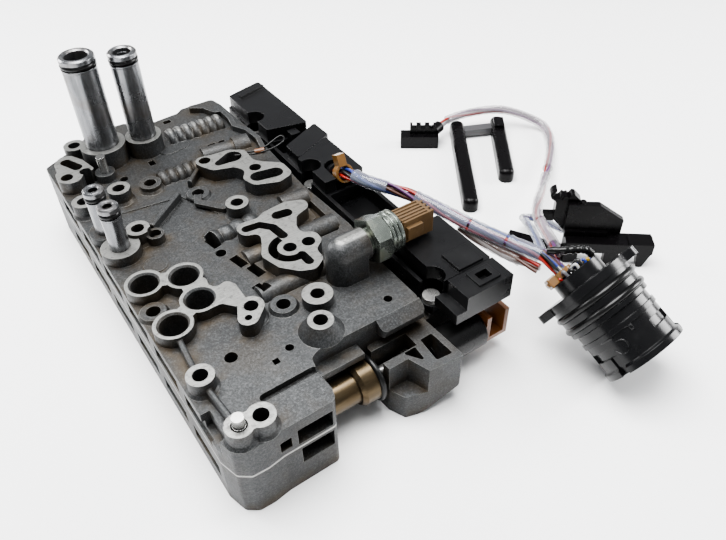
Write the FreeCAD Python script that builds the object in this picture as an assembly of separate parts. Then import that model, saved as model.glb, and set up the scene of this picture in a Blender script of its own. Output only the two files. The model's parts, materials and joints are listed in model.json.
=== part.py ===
import FreeCAD, Part
import math
import os

# Valve body of an automatic gearbox with its wiring harness, in millimetres.
# The origin is on the table under the front locating dowel. +X runs along the short side to the contact rail,
# +Y along the long side and +Z up.

# Fits
PRESS_GAP = 0.02
RUNNING_GAP = 0.05
SEAT_GAP = 0.3

# Levels of the two castings
LOWER_H = 26.0
PLATE_T = 1.0
DECK_T = 17.0
ISLAND_RISE = 8.0
PLATFORM_RISE = 6.0
PARTING_Z = LOWER_H + PLATE_T
DECK_Z = PARTING_Z + DECK_T
ISLAND_Z = DECK_Z + ISLAND_RISE
PLATFORM_Z = DECK_Z + PLATFORM_RISE

# Plan of the castings
CASE_LEFT = -9.3
CASE_FRONT = -6.0
CASE_RIGHT = 104.0
CASE_REAR = 252.0
FRONT_STEP_X = 41.5
FRONT_STEP_Y = 21.0
CORNER_R = 3.0
LOWER_SETBACK = 3.0

# Bolt holes and bosses
BOLT_R = 3.4
BOSS_R = 6.2
BOSS_SKIRT = 1.3
BOSS_BLEND_H = 1.8

THROUGH_BOSSES = {
    "left front": (-1.9, 31.4),
    "front": (9.3, -0.5),
    "centre front": (34.0, 55.0),
    "left middle": (16.8, 178.5),
    "rear": (10.3, 236.4),
}
BLIND_BOSSES = {
    "centre": (64.1, 128.6, 8.0),
    "left rib": (12.5, 138.8, 8.0),
    "right of triangle": (53.3, 157.0, 2.0),
    "behind triangle": (34.4, 179.1, 4.0),
    "left edge": (-3.0, 178.0, 8.0),
    "grey low": (49.0, 53.0, 2.0),
    "beside large bores": (-2.6, 83.7, 2.0),
}
BLIND_FLOOR_Z = 31.0
SMALL_HOLE_R = 1.7
SMALL_HOLE = (29.6, 49.0)
RING_BOSS = (63.7, 46.2)
RING_BOSS_R = 7.4
RING_BOSS_RISE = 6.0
DOME_BOSS = (55.4, 29.9)
DOME_BOSS_R = 10.8
DOME_BOSS_RISE = 7.5
DOME_FLAT_R = 6.0
CUP_OFFSET = (6.5, -5.5)
CUP_R = 4.6
CUP_RISE = 5.0

# Plain holes in the deck: x, y, radius
DECK_HOLES = [
    (14.9, 39.4, 3.0),
    (38.6, 29.6, 2.0),
    (91.7, 29.2, 2.2),
    (41.9, 105.0, 2.8),
    (7.0, 205.6, 3.2),
    (24.8, 197.2, 2.4),
]

# Four large port bores on one raised platform
PORTS = [(0.2, 99.9), (18.0, 93.9), (17.5, 75.1), (0.9, 66.8)]
PORT_R = 6.6
PORT_WALL = 2.7
PORT_CHAMFER = 1.0
PORT_LINK_W = 9.0
PORT_DRAIN_R = 3.0
PLATFORM_PAD = [
    (14.0, 88.0), (26.4, 88.0), (24.5, 80.0), (28.0, 77.5), (33.0, 79.0), (35.5, 74.0),
    (35.1, 60.5), (29.0, 60.0), (24.3, 66.0), (14.0, 66.0),
]

# Raised islands with machined tops
LEFT_ISLAND = [
    (-8.9, 203.0), (-8.2, 212.0), (-5.6, 214.5), (-6.2, 222.0), (-0.6, 228.4), (5.2, 226.6),
    (9.6, 218.0), (12.6, 204.0), (6.6, 205.0), (2.4, 199.0), (-3.2, 197.8),
]
REAR_ISLAND = [
    (60.9, 176.0), (64.5, 180.5), (73.0, 178.3), (83.0, 177.6), (91.0, 172.0), (90.0, 159.6),
    (94.0, 154.5), (102.4, 147.0), (102.2, 134.5), (92.0, 131.4), (79.0, 137.0), (76.4, 146.0),
    (81.5, 152.6), (78.0, 159.2), (66.5, 163.4), (63.0, 170.5),
]
FRONT_ISLAND = [
    (53.0, 111.5), (66.5, 110.0), (71.0, 112.6), (85.0, 114.0), (95.2, 109.5), (93.4, 102.8), (84.0, 99.6),
    (80.0, 93.0), (79.0, 86.4), (85.4, 83.8), (85.0, 76.0), (78.6, 71.0), (78.4, 63.5), (71.0, 58.6),
    (64.0, 62.0), (57.0, 70.0), (53.8, 82.0), (58.8, 91.0), (61.8, 98.2), (53.4, 101.0),
]
ISLAND_CORNER_R = 5.0
ISLAND_HOLES = [(66.9, 175.3), (87.5, 152.2), (68.7, 80.0), (78.5, 78.6), (-3.4, 205.5)]
C_CHANNEL_INNER_R = 6.3
C_CHANNEL_OUTER_R = 10.8
C_CHANNEL_START = 95.0
C_CHANNEL_SWEEP = 180.0
CHANNEL_FLOOR_Z = 39.0
# Slots: end point, radius, end point, radius
ISLAND_SLOTS = [
    ((0.6, 221.0), 3.0, (4.6, 212.5), 3.0),
    ((72.6, 168.0), 2.4, (82.0, 169.6), 5.2),
    ((84.6, 143.2), 4.4, (94.4, 141.2), 4.4),
    ((76.2, 106.0), 3.2, (81.0, 105.2), 3.2),
    ((70.9, 72.0), 2.3, (71.2, 65.6), 2.3),
]
SNAKE_CHANNEL = [(57.6, 105.2), (64.6, 104.4), (69.3, 98.8), (70.4, 90.0)]
SNAKE_R = 2.5

# Bulges over the valve bores: from, to, radius, ridges
BORE_BULGES = [
    ((62.0, 221.5), (98.0, 220.5), 8.2, 7),
    ((41.0, 183.5), (66.0, 182.5), 7.4, 5),
    ((72.5, 193.8), (93.0, 191.2), 5.8, 0),
    ((92.0, 191.4), (101.5, 190.2), 7.2, 0),
    ((40.0, 117.0), (69.5, 118.3), 6.6, 4),
    ((87.0, 123.0), (102.5, 122.0), 6.2, 0),
    ((43.0, 66.0), (86.0, 66.0), 6.4, 0),
    ((50.0, 93.6), (103.0, 93.6), 6.0, 0),
]
BULGE_AXIS_DROP = 2.0
RIDGE_DEPTH = 1.3

# Rectangular windows in the deck: x, y, size along x, size along y, turn in degrees
WINDOWS = [
    (42.0, 114.6, 4.6, 9.0, 12.0),
    (46.4, 94.0, 4.8, 9.5, 12.0),
    (50.4, 83.0, 5.0, 9.5, 12.0),
    (46.0, 68.9, 5.0, 10.0, 12.0),
    (70.2, 242.3, 5.0, 3.4, 0.0),
    (44.3, 203.3, 3.6, 5.0, 0.0),
    (81.9, 200.1, 5.0, 3.0, 0.0),
    (88.4, 199.6, 4.0, 3.4, 0.0),
    (30.0, 26.0, 3.0, 3.0, 0.0),
]
WINDOW_DEPTH = 10.0
# Straight ribs: from, to
RIBS = [
    ((20.0, 141.4), (43.4, 160.2)),
    ((52.7, 166.3), (62.7, 176.1)),
    ((-0.3, 57.7), (-2.0, 37.0)),
    ((-1.6, 26.0), (-0.2, 5.0)),
]
RIB_W = 2.6
RIB_RISE = 5.0
RIB_EDGE_R = 1.0
# Rounded web between two bosses, and the rim wall with its block at the rear right
WEB = [(53.3, 157.0), (49.3, 148.1), (58.9, 135.6)]
WEB_R = 2.0
WEB_RISE = 3.0
RIM_WALL = [(102.9, 236.8), (102.8, 216.4), (101.2, 207.2), (105.6, 197.7), (106.3, 185.7), (104.0, 175.0)]
RIM_WALL_R = 1.5
RIM_BLOCK = [(83.1, 246.1), (103.4, 244.0), (104.2, 225.9), (97.5, 229.0), (94.0, 238.0)]
RIM_RISE = 4.0
# Trough along the right edge, round the front island
TROUGH = [
    (88.0, 86.0), (102.0, 86.0), (101.5, 130.0), (91.0, 128.5), (88.5, 117.5), (97.5, 112.0), (96.5, 101.5), (88.0, 98.0),
]
TROUGH_DEPTH = 5.0
SUNK_TRIANGLE = [(44.7, 162.0), (10.0, 167.0), (17.4, 135.0), (56.0, 133.0)]
SUNK_DEPTH = 0.7
DECK_GROOVE = ((16.4, 11.9), (40.6, 12.5))
DECK_GROOVE_R = 2.0
DECK_GROOVE_DEPTH = 3.5
EDGE_POCKET = (-4.9, 3.0, 19.0, 35.5)
OVAL_MARK = ((57.0, 210.0), 4.4, (67.0, 211.0), 4.4)
ROUND_MARK = (11.3, 115.7, 6.0)
MARK_LINE = 0.8
MARK_RISE = 0.5

# Windows in the front faces: x from, x to, z from, z to, depth
UPPER_FRONT_WINDOWS = [(12.6, 18.0, 30.0, 36.0, 7.0), (21.0, 38.0, 28.5, 38.0, 12.0)]
LOWER_FRONT_WINDOW = (22.0, 38.0, 14.5, 24.5, 12.0)
SIDE_PANELS_Y = [24.0, 58.0, 92.0, 126.0, 160.0, 194.0]
SIDE_PANEL_L = 26.0
SIDE_PANEL_H = 8.0
SIDE_PANEL_DEPTH = 1.4

# Sloping lip at the deck's front right, and the ledge beside it
LIP_X0 = 79.0
LIP_LENGTH_Y = 6.0
LIP_DROP = 4.0
LIP_BOTTOM_Z = 36.0
LIP_END_R = 3.0
LIP_UNDERCUT = 0.8
LEDGE_X0 = 44.5
LEDGE_X1 = 68.0
LEDGE_Y0 = 14.2
LEDGE_Z0 = 31.5
LEDGE_Z1 = 35.0

# Elbow with the pressure sensor
ELBOW_X = 83.0
ELBOW_Y = 54.5
ELBOW_AXIS_Z = 59.0
ELBOW_R = 8.2
ELBOW_END_X = 95.4
SENSOR_BORE_R = 5.0
SENSOR_BORE_L = 12.0
SENSOR_SEAL_T = 2.0
SENSOR_SEAL_R = 7.0
HEX_AF = 21.5
HEX_L = 8.5
HEX_BEVEL = 1.6
SENSOR_CAN_R = 10.6
SENSOR_CAN_L = 7.5
SENSOR_CAN_RINGS = 3
SENSOR_RING_DEPTH = 0.8
SENSOR_NECK_R = 5.4
SENSOR_NECK_L = 8.0
PLUG_SETBACK = 2.0
PLUG_L = 18.0
PLUG_W = 11.5
PLUG_H = 13.0
PLUG_RIB_PITCH = 2.2
PLUG_RIB_W = 1.0
PLUG_RIB_DEPTH = 0.6
PLUG_RIBS = 5
PLUG_TEETH = 4
PLUG_TOOTH_DEPTH = 1.6
PLUG_TAB = (1.0, 10.0, 2.2, 7.0)
PLUG_FOOT = (2.0, 8.0, 7.0, 2.2)

# Feed tubes: x, y, outer radius, wall, top, collar outer radius, collar top
TUBES = {
    "feed_tube_large": (24.0, 222.0, 9.35, 3.05, 111.0, 13.0, 56.0),
    "feed_tube_medium": (47.4, 218.6, 7.75, 2.75, 108.0, 10.6, 55.0),
    "feed_tube_front_small": (0.5, 132.5, 5.0, 2.7, 76.0, 9.8, 50.0),
    "feed_tube_rear_small": (-0.6, 151.0, 5.0, 2.7, 75.0, 8.6, 49.0),
}
TUBE_SEAT_DEPTH = 10.0
TUBE_LIP_H = 3.0
TUBE_LIP_PROUD = 0.2
TUBE_LIP_CHAMFER = 0.8
TUBE_SHOULDER = 1.2
TUBE_STEP = 0.4
SEAL_CORD_R = 1.6
SEAL_STAND = 0.4

# Dowel pins
DOWEL_R = 2.6
DOWEL_SHANK_R = 2.8
DOWEL_RECESS_R = 3.4
DOWEL_RECESS_Z = 40.0
DOWEL_TOP_Z = 57.0
DOWEL_FOOT_Z = 8.0
REAR_DOWEL = (16.9, 203.6)
REAR_DOWEL_TOP_Z = 59.0
REAR_DOWEL_FOOT_Z = 30.0
REAR_DOWEL_BOSS_R = 5.6
REAR_DOWEL_BOSS_Z = 49.0

# Screws from below that hold the casings together
CASING_SCREWS = [
    (24.0, 22.0), (84.0, 32.0), (37.0, 86.0), (94.5, 124.0),
    (30.0, 126.0), (80.0, 186.0), (66.0, 236.0), (4.0, 190.0),
]
CASING_SCREW_R = 2.5
CASING_HEAD_R = 4.6
CASING_HEAD_H = 5.0
CASING_HEAD_SINK = 6.5
CASING_THREAD_L = 10.0
HEX_KEY_AF = 4.0
HEX_KEY_DEPTH = 2.5

# Solenoids in a row along the right side
SOLENOID_Y = [10.0, 45.0, 76.0, 107.0, 162.0, 186.0]
SOLENOID_Z = 15.6
SOLENOID_R = 9.5
SOLENOID_FLANGE_R = 10.4
SOLENOID_FLANGE_T = 2.0
SOLENOID_X0 = 107.5
SOLENOID_L = 25.5
NOSE_R = 5.2
NOSE_L = 14.0
NOSE_SEAL_R = 1.1
CAP_L = 14.0
CAP_W = 14.0
CAP_H = 17.0
CAP_RAISE = 3.0
CAP_WALL = 2.6
CAP_TONGUE = 4.0

# Spool valves behind the middle solenoids
SPOOL_STATIONS = [1, 2, 3, 4]
SPOOL_R = 5.0
SPOOL_NECK_R = 2.8
SPOOL_LANDS = 3
SPOOL_LAND_L = 7.0
SPOOL_TRAVEL = 4.0
SPRING_L = 11.0
SPRING_R = 3.8
SPRING_WIRE_R = 0.55
SPRING_TURNS = 5
BORE_FLOOR_X = 42.5
NOSE_FACE_X = SOLENOID_X0 - SOLENOID_FLANGE_T - NOSE_L
SPOOL_L = NOSE_FACE_X - SEAT_GAP - BORE_FLOOR_X - SPRING_L

# Check balls in pockets under the deck
CHECK_BALLS = [(30.0, 100.0), (76.0, 150.0), (30.0, 205.0), (90.0, 232.0), (70.0, 30.0)]
BALL_R = 3.0
BALL_POCKET_GAP = 0.3

# Pilot valve unit at the front
PILOT_Y = 12.4
PILOT_Z = 18.6
PILOT_CAN_X0 = 40.5
PILOT_CAN_R = 7.8
PILOT_CAN_L = 19.0
PILOT_FLANGE_R = 10.6
PILOT_FLANGE_L = 9.0
PILOT_SEAL_R = 1.5
STEM_R = 3.0
STEM_L = 23.0
STEM_TRAVEL = 2.5
STEM_SPRING_L = 5.5
STEM_SPRING_R = 3.6
PILOT_END_X = PILOT_CAN_X0 + PILOT_CAN_L + PILOT_FLANGE_L + 2 * PILOT_SEAL_R

# End bracket
BRACKET_TOP_Z = 30.0
BRACKET_TO_PILOT = 1.5
BRACKET_X0 = PILOT_END_X + BRACKET_TO_PILOT
BRACKET_CUT_X0 = BRACKET_X0 - 3.0
BRACKET_OUTLINE = [
    (BRACKET_X0, FRONT_STEP_Y), (BRACKET_X0 + 1.0, 3.6), (77.6, -4.6), (88.4, -7.8), (107.0, -9.4), (106.0, FRONT_STEP_Y),
]
BRACKET_NOTCH = [(BRACKET_CUT_X0, 3.6), (84.6, 3.6), (88.2, -7.2), (89.0, -20.0), (BRACKET_CUT_X0, -20.0)]
BRACKET_NOTCH_Z = 15.0
BRACKET_POCKET = [(96.2, 9.6), (95.0, -4.4), (103.6, -5.2), (103.0, 9.8)]
BRACKET_SMALL_POCKET = [(84.6, 7.4), (91.6, 7.6), (90.6, -2.0)]
BRACKET_POCKET_FLOOR_Z = 11.0
BRACKET_CORNER_R = 1.6
BRACKET_SLOPE = ((84.0, 0.0), (108.0, 10.0))
STEM_CHANNEL_X1 = 93.0
STEM_CHANNEL_HALF_W = 4.4

# Contact rail
RAIL_X0 = 112.0
RAIL_X1 = 139.0
RAIL_FRONT_X1 = 146.0
FRONT_BLOCK_X0 = RAIL_X0 + 6.0
RAIL_Y0 = 3.0
RAIL_Y1 = 244.6
RAIL_REAR_SKEW = 5.6
RAIL_FRONT_CUT_Z = 36.0
RAIL_FRONT_CUT_Y = 20.2
RAIL_Z0 = 28.4
RAIL_FLOOR_T = 4.0
RAIL_WALL = 2.2
RAIL_WALL_Z = 42.0
RAIL_TOP_Z = 50.0
FRONT_BLOCK_Y1 = 18.4
FRONT_COVER_Y1 = 60.0
MIDDLE_COVER_Y0 = 118.0
MIDDLE_COVER = [(113.0, MIDDLE_COVER_Y0), (138.4, MIDDLE_COVER_Y0), (138.4, 158.7), (113.0, 148.2)]
MIDDLE_POCKET = [(114.2, MIDDLE_COVER_Y0), (136.8, MIDDLE_COVER_Y0), (136.8, 156.0), (114.2, 146.6)]
RAISED_BLOCK = [(114.0, 149.2), (141.3, 160.2), (141.1, 176.2), (114.0, 163.8)]
GAP_POCKET = [(114.2, 167.0), (136.4, 177.1), (136.4, 178.4), (114.2, 184.0)]
GAP_LATCH = (124.5, 130.5, 175.0, 181.5, 48.0)
REAR_COVER = [(113.5, 186.3), (138.4, 180.0), (138.4, 244.2), (136.0, 244.2), (113.5, 238.6)]
REAR_POCKET = [(114.2, 188.0), (136.8, 182.4), (136.8, 242.2), (114.2, 236.6)]
REAR_LATCH = ((118.0, 231.2), (137.0, 236.4), 3.4, 2.0)
FRONT_COVER_X0 = 116.0
FRONT_PAD = (126.0, 141.0, 19.0, 32.4, 1.6)
FRONT_LATCH = (127.0, 140.0, 5.5, 15.5, 1.2)
FRONT_LATCH_WINDOW = (130.0, 137.0, 8.0, 13.0, 3.0)
COVER_LIFT = 0.3
COVER_EDGE_R = 1.2
RAIL_SCREWS = [(114.5, 24.9), (115.2, 138.1), (114.5, 205.2)]
RAIL_SCREW_SEAT_Z = 34.0
RAIL_SCREW_R = 2.4
RAIL_SCREW_HEAD_R = 4.4
RAIL_SCREW_HEAD_H = 3.0
SCREW_WELL_R = 6.3
SCREW_POST_R = 5.0
LUG_HALF_W = 3.6
LUG_X1 = 128.0
LUG_STEP_X = 111.0
LUG_Z0 = 12.0
EXIT_SLOT_R = 5.8
EXIT_SLOT_BACK = 2.5
GLAND_L = 4.0
GLAND_WALL = 1.2
GLAND_POST_R = 2.2

# Harness
TRUNK_R = 3.9
LOOM_R = 3.4
BRANCH_R = 3.2
SELECTOR_CORD_R = 2.4
TIE_T = 1.4
TIE_W = 5.0
TIE_HEAD = (7.0, 5.0, 6.0)
TRUNK_ROUTE = [
    (126.4, 127.4, 46.4), (125.7, 112.6, 54.0), (127.6, 101.6, 55.2), (132.2, 92.6, 54.8), (138.6, 84.6, 53.6),
    (144.4, 75.4, 51.8), (149.2, 65.0, 49.6), (153.6, 54.2, 47.8), (157.6, 43.0, 46.6), (161.6, 31.4, 46.2),
    (165.8, 18.6, 46.4),
]
LOOM_ROUTE = [
    (156.6, 53.0, 41.5), (158.8, 40.1, 39.5), (161.6, 27.9, 39.5), (164.5, 16.4, 40.0), (167.4, 6.0, 40.0),
]
SENSOR_ROUTE = [
    (176.6, 2.6, 46.0), (181.2, 8.6, 44.2), (187.2, 18.4, 41.6), (194.8, 30.6, 38.0), (204.0, 43.9, 34.0),
    (219.6, 56.9, 29.0), (235.6, 69.0, 20.0), (253.2, 82.6, 13.6), (270.8, 96.0, 9.4), (286.6, 109.0, 6.2),
    (299.4, 120.4, 4.6), (308.4, 131.4, 3.8), (312.8, 141.4, 4.8), (308.0, 150.4, 7.6), (301.7, 158.2, 10.4),
    (294.0, 165.6, 12.5), (284.6, 171.6, 12.8), (273.0, 175.6, 12.8), (261.4, 178.2, 12.6), (251.6, 178.9, 12.2),
    (243.4, 176.6, 11.2),
]
SELECTOR_ROUTE = [
    (171.8, 4.6, 43.0), (178.0, 14.8, 40.4), (187.0, 26.6, 36.0), (197.0, 40.4, 29.8), (206.6, 53.2, 21.8),
    (215.5, 63.0, 13.5), (222.0, 67.6, 8.0), (227.8, 65.6, 6.4), (229.8, 59.0, 7.0), (228.9, 51.6, 9.6),
    (227.0, 44.9, 12.4), (225.6, 38.6, 14.8),
]
RAIL_TIE_RUN = 0
JUNCTION_TIE_RUN = 11
TIE_GAP = 0.15

# Round connector. It stands on its rim with its axis pointing down and away from the castings.
CONNECTOR_AT = (179.4, -17.0)
CONNECTOR_HEADING = 278.0
CONNECTOR_DIP = 28.0
CONNECTOR_ROLL = 42.2
CONNECTOR_R = 19.6
CONNECTOR_L = 40.0
CONNECTOR_SHOULDER_R = 21.4
CONNECTOR_SHOULDER_L = 14.5
CONNECTOR_RIM_R = 21.0
CONNECTOR_RIM_L = 4.0
CONNECTOR_BAND = (19.5, 22.0)
CONNECTOR_SEAL_R = 1.7
CONNECTOR_SEAL_STAND = 1.2
CONNECTOR_SEALS = [4.0, 10.5]
CONNECTOR_SOCKET_R = 16.2
CONNECTOR_SOCKET_DEPTH = 27.0
BAYONET_SLOTS = 3
BAYONET_SLOT_W = 4.5
BAYONET_SLOT_DEPTH = 1.6
BAYONET_SWEEP = 55.0
BAYONET_Z = 26.0
CONNECTOR_BACK_R = 13.0
CONNECTOR_BACK_L = 7.0
CONNECTOR_BACK_WALL = 2.0
COLLAR_FLOOR_T = 2.0
TRUNK_END_L = 17.6
TRUNK_END_SIDE = 5.0
FLANGE_T = 4.3
FLANGE_R = 22.0
EAR_REACH = 23.6
EAR_R = 4.6
EAR_HOLE_R = 2.4
PIN_R = 0.9
PIN_L = 11.0
PIN_RINGS = [(4.0, 5), (9.5, 11)]

# Twin-bar sensor
BAR_W = 10.0
BAR_H = 9.0
LONG_BAR = ((262.1, 179.6), (206.0, 97.4))
SHORT_BAR = ((290.0, 167.0), (246.4, 108.2))
BAR_END_R = 4.4
BAR_EDGE_R = 3.6
BAR_CAP = ((285.9, 161.5), (278.9, 152.0))
BAR_CAP_W = 7.0
BAR_CAP_RISE = 2.0
BRIDGE_W = 7.0
BRIDGE_H = 4.5
BRIDGE_Z0 = 2.0
HARNESS_PLUG = ((217.2, 187.5), (238.7, 171.7))
HARNESS_PLUG_W = 10.0
HARNESS_PLUG_H = 9.0
PLUG_CREST = ((224.0, 185.6), (238.6, 174.9))
PLUG_CREST_W = 6.0
PLUG_CREST_Z = 15.0
PLUG_CREST_NOTCHES = 3
PLUG_CREST_NOTCH_DEPTH = 2.2
PLUG_BOOT_L = 7.0
PLUG_BOOT_WALL = 0.8

# Selector position switch, in its own plan axes: along its front edge, back from it, and up
SELECTOR_AT = (217.8, 28.9)
SELECTOR_TURN = -39.2
SELECTOR_BAR = (-1.0, 48.0, 0.0, 11.0, 9.2, 15.8)
SELECTOR_END_BLOCK = (34.0, 48.0, 0.0, 9.0, 9.2, 16.4)
SELECTOR_RISER = (-1.0, 7.0, 1.0, 11.0, 1.0, 15.8)
SELECTOR_ARM_END = (205.0, 63.0)
SELECTOR_ARM_START = (221.6, 33.6)
SELECTOR_ARM_W = 9.0
SELECTOR_ARM_T = 5.0
SELECTOR_HOUSING = [(-1.8, 15.8), (-1.8, 36.6), (15.4, 36.6), (30.0, 26.8), (30.0, 17.0), (22.3, 17.0), (22.3, 15.8)]
SELECTOR_HOUSING_Y = (8.4, 12.2)
SELECTOR_PLINTH = (-1.8, 22.3, 6.4, 8.6, 15.0, 19.4)
SELECTOR_FIN = [(-1.0, 16.0), (-8.5, 24.0), (-8.5, 37.0), (1.0, 37.0), (5.0, 34.0), (5.0, 16.0)]
SELECTOR_FIN_Y = (11.0, 17.0)
SELECTOR_LUG = (-17.0, -8.0, 12.4, 16.4, 22.0, 27.0)
CLIP_AT = (-8.7, 40.6)
CLIP_R = 3.6
CLIP_BORE_R = 2.4
CLIP_MOUTH_X = -0.5
HOOK_OUTLINE = [(-6.0, 36.0), (-5.0, 39.6), (-3.4, 40.6), (-2.0, 39.4), (-0.6, 41.6), (1.0, 41.4), (5.0, 37.4), (5.0, 34.0)]
SELECTOR_SCREW = (6.0, 10.3, 1.6, 1.6)
FRONT_LEG = [(22.0, 0.0), (29.0, 0.0), (29.6, 9.4), (21.4, 9.4)]
END_LEG = [(41.0, 0.0), (44.0, 0.0), (47.4, 9.4), (39.4, 9.4)]
LEG_DEPTH = 5.0


def vec(x, y, z=0.0):
    """A point or a direction."""
    return FreeCAD.Vector(x, y, z)


def box(x0, x1, y0, y1, z0, z1):
    """A block between its limits."""
    return Part.makeBox(x1 - x0, y1 - y0, z1 - z0, vec(x0, y0, z0))


def post(x, y, z0, z1, radius):
    """An upright cylinder."""
    return Part.makeCylinder(radius, z1 - z0, vec(x, y, z0))


def bar_x(x0, x1, y, z, radius):
    """A cylinder along X."""
    return Part.makeCylinder(radius, x1 - x0, vec(x0, y, z), vec(1, 0, 0))


def join(shapes):
    """One solid from several that overlap or touch."""
    return shapes[0].multiFuse(shapes[1:]).removeSplitter()


def rounded_wire(points, radius, z):
    """A closed outline whose corners are arcs of one radius, smaller where a side is short."""
    corners = [vec(x, y, z) for x, y in points]
    count = len(corners)
    rounds = []
    for i, here in enumerate(corners):
        back = corners[i - 1] - here
        ahead = corners[(i + 1) % count] - here
        turn = math.pi - back.getAngle(ahead)
        half = math.tan(turn / 2)
        if half < 0.01:
            rounds.append((here, None, here))
            continue
        setback = min(radius * half, 0.48 * back.Length, 0.48 * ahead.Length)
        fitted = setback / half
        back.normalize()
        ahead.normalize()
        inward = back + ahead
        inward.normalize()
        middle = here + inward * (fitted / math.cos(turn / 2) - fitted)
        rounds.append((here + back * setback, middle, here + ahead * setback))
    edges = []
    for i, (start, middle, end) in enumerate(rounds):
        if middle is not None:
            edges.append(Part.Arc(start, middle, end).toShape())
        following = rounds[(i + 1) % count][0]
        if end.distanceToPoint(following) > 1e-4:
            edges.append(Part.LineSegment(end, following).toShape())
    return Part.Wire(edges)


def prism(points, radius, z0, z1):
    """A rounded outline stood up between two levels."""
    return Part.Face(rounded_wire(points, radius, z0)).extrude(vec(0, 0, z1 - z0))


def capsule(p, p_radius, q, q_radius, z0, z1):
    """An upright block whose plan wraps two circles, for slots, links and teardrops."""
    start = vec(p[0], p[1], z0)
    end = vec(q[0], q[1], z0)
    along = end - start
    heading = math.atan2(along.y, along.x)
    spread = math.acos((p_radius - q_radius) / along.Length)

    def rim(centre, radius, angle):
        return centre + vec(math.cos(angle), math.sin(angle)) * radius

    left_start = rim(start, p_radius, heading + spread)
    left_end = rim(end, q_radius, heading + spread)
    right_start = rim(start, p_radius, heading - spread)
    right_end = rim(end, q_radius, heading - spread)
    wire = Part.Wire([
        Part.LineSegment(left_start, left_end).toShape(),
        Part.Arc(left_end, rim(end, q_radius, heading), right_end).toShape(),
        Part.LineSegment(right_end, right_start).toShape(),
        Part.Arc(right_start, rim(start, p_radius, heading + math.pi), left_start).toShape(),
    ])
    return Part.Face(wire).extrude(vec(0, 0, z1 - z0))


def channel(points, radius, z0, z1):
    """A chain of capsules, for a channel that bends."""
    return join([capsule(a, radius, b, radius, z0, z1) for a, b in zip(points, points[1:])])


def strip(p, q, width, z0, z1):
    """A straight bar of a given width between two points in plan."""
    start = vec(p[0], p[1])
    along = vec(q[0], q[1]) - start
    bar = Part.makeBox(along.Length, width, z1 - z0, vec(0, -width / 2, z0))
    bar.rotate(vec(0, 0, 0), vec(0, 0, 1), math.degrees(math.atan2(along.y, along.x)))
    bar.translate(start)
    return bar


def turned_box(x, y, size_x, size_y, turn, z0, z1):
    """A block centred on a point and turned about the upright."""
    block = Part.makeBox(size_x, size_y, z1 - z0, vec(-size_x / 2, -size_y / 2, z0))
    block.rotate(vec(0, 0, 0), vec(0, 0, 1), turn)
    block.translate(vec(x, y))
    return block


def hexagon(across, z0, z1):
    """An upright hexagonal bar on the Z axis."""
    corner = across / math.sqrt(3)
    points = [(corner * math.cos(k * math.pi / 3), corner * math.sin(k * math.pi / 3)) for k in range(6)]
    wire = Part.makePolygon([vec(x, y, z0) for x, y in points + points[:1]])
    return Part.Face(wire).extrude(vec(0, 0, z1 - z0))


def along_x(shape, x, y, z):
    """Lays a shape built on the Z axis along +X, with its foot at a point."""
    shape.rotate(vec(0, 0, 0), vec(0, 1, 0), 90)
    shape.translate(vec(x, y, z))
    return shape


def turned(profile):
    """A solid of revolution about Z from a closed profile of radius and height."""
    wire = Part.makePolygon([vec(r, 0, z) for r, z in profile + profile[:1]])
    return Part.Face(wire).revolve(vec(0, 0, 0), vec(0, 0, 1), 360)


def ring(major, minor, z):
    """A seal ring round the Z axis."""
    return Part.makeTorus(major, minor, vec(0, 0, z))


def coil(radius, wire_radius, length, turns):
    """A compression spring up Z from z=0 to its length."""
    pitch = (length - 2 * wire_radius) / turns
    helix = Part.makeHelix(pitch, pitch * turns, radius)
    start = Part.Wire(Part.makeCircle(wire_radius, vec(radius, 0, 0), vec(0, 1, 0)))
    spring = Part.Wire(helix.Edges).makePipeShell([start], True, True)
    spring.translate(vec(0, 0, wire_radius))
    return spring


def save(name, shape):
    """Writes one node and says what it is."""
    shape.exportStep(f"parts/{name}.step")
    print(name, "solids", len(shape.Solids), "valid", shape.isValid(), "volume", round(shape.Volume, 1))
    return shape


def case_outline(setback):
    """Plan of a casting. The setback moves the stretch behind the pilot valve inwards."""
    step_y = FRONT_STEP_Y + setback
    return [
        (CASE_LEFT, 6.0), (-6.6, -3.6), (-1.5, -7.4), (6.0, -7.6), (14.0, -6.4),
        (FRONT_STEP_X - 1.5, CASE_FRONT), (FRONT_STEP_X + 0.5, 0.0), (FRONT_STEP_X, 10.0 + setback),
        (FRONT_STEP_X + 2.0, step_y - 2.0), (FRONT_STEP_X + 6.5, step_y), (73.0, step_y),
        (76.5, FRONT_STEP_Y), (CASE_RIGHT, FRONT_STEP_Y), (CASE_RIGHT, 52.0), (CASE_RIGHT + 4.0, 87.0),
        (CASE_RIGHT + 1.8, 131.0), (CASE_RIGHT + 3.0, 156.0), (CASE_RIGHT + 5.0, 203.0),
        (CASE_RIGHT + 4.0, 242.0), (CASE_RIGHT + 2.0, CASE_REAR), (84.0, CASE_REAR), (80.0, CASE_REAR - 3.5),
        (62.0, CASE_REAR - 5.0), (46.0, CASE_REAR + 5.0), (40.0, CASE_REAR + 5.5), (5.0, CASE_REAR - 9.0),
        (CASE_LEFT, CASE_REAR - 17.0),
    ]


def bolt_boss(x, y, radius, top):
    """A boss with a small blend at its foot, as cast."""
    foot = Part.makeCone(radius + BOSS_SKIRT, radius, BOSS_BLEND_H, vec(x, y, DECK_Z - 0.2))
    return [post(x, y, PARTING_Z, top, radius), foot]


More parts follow.
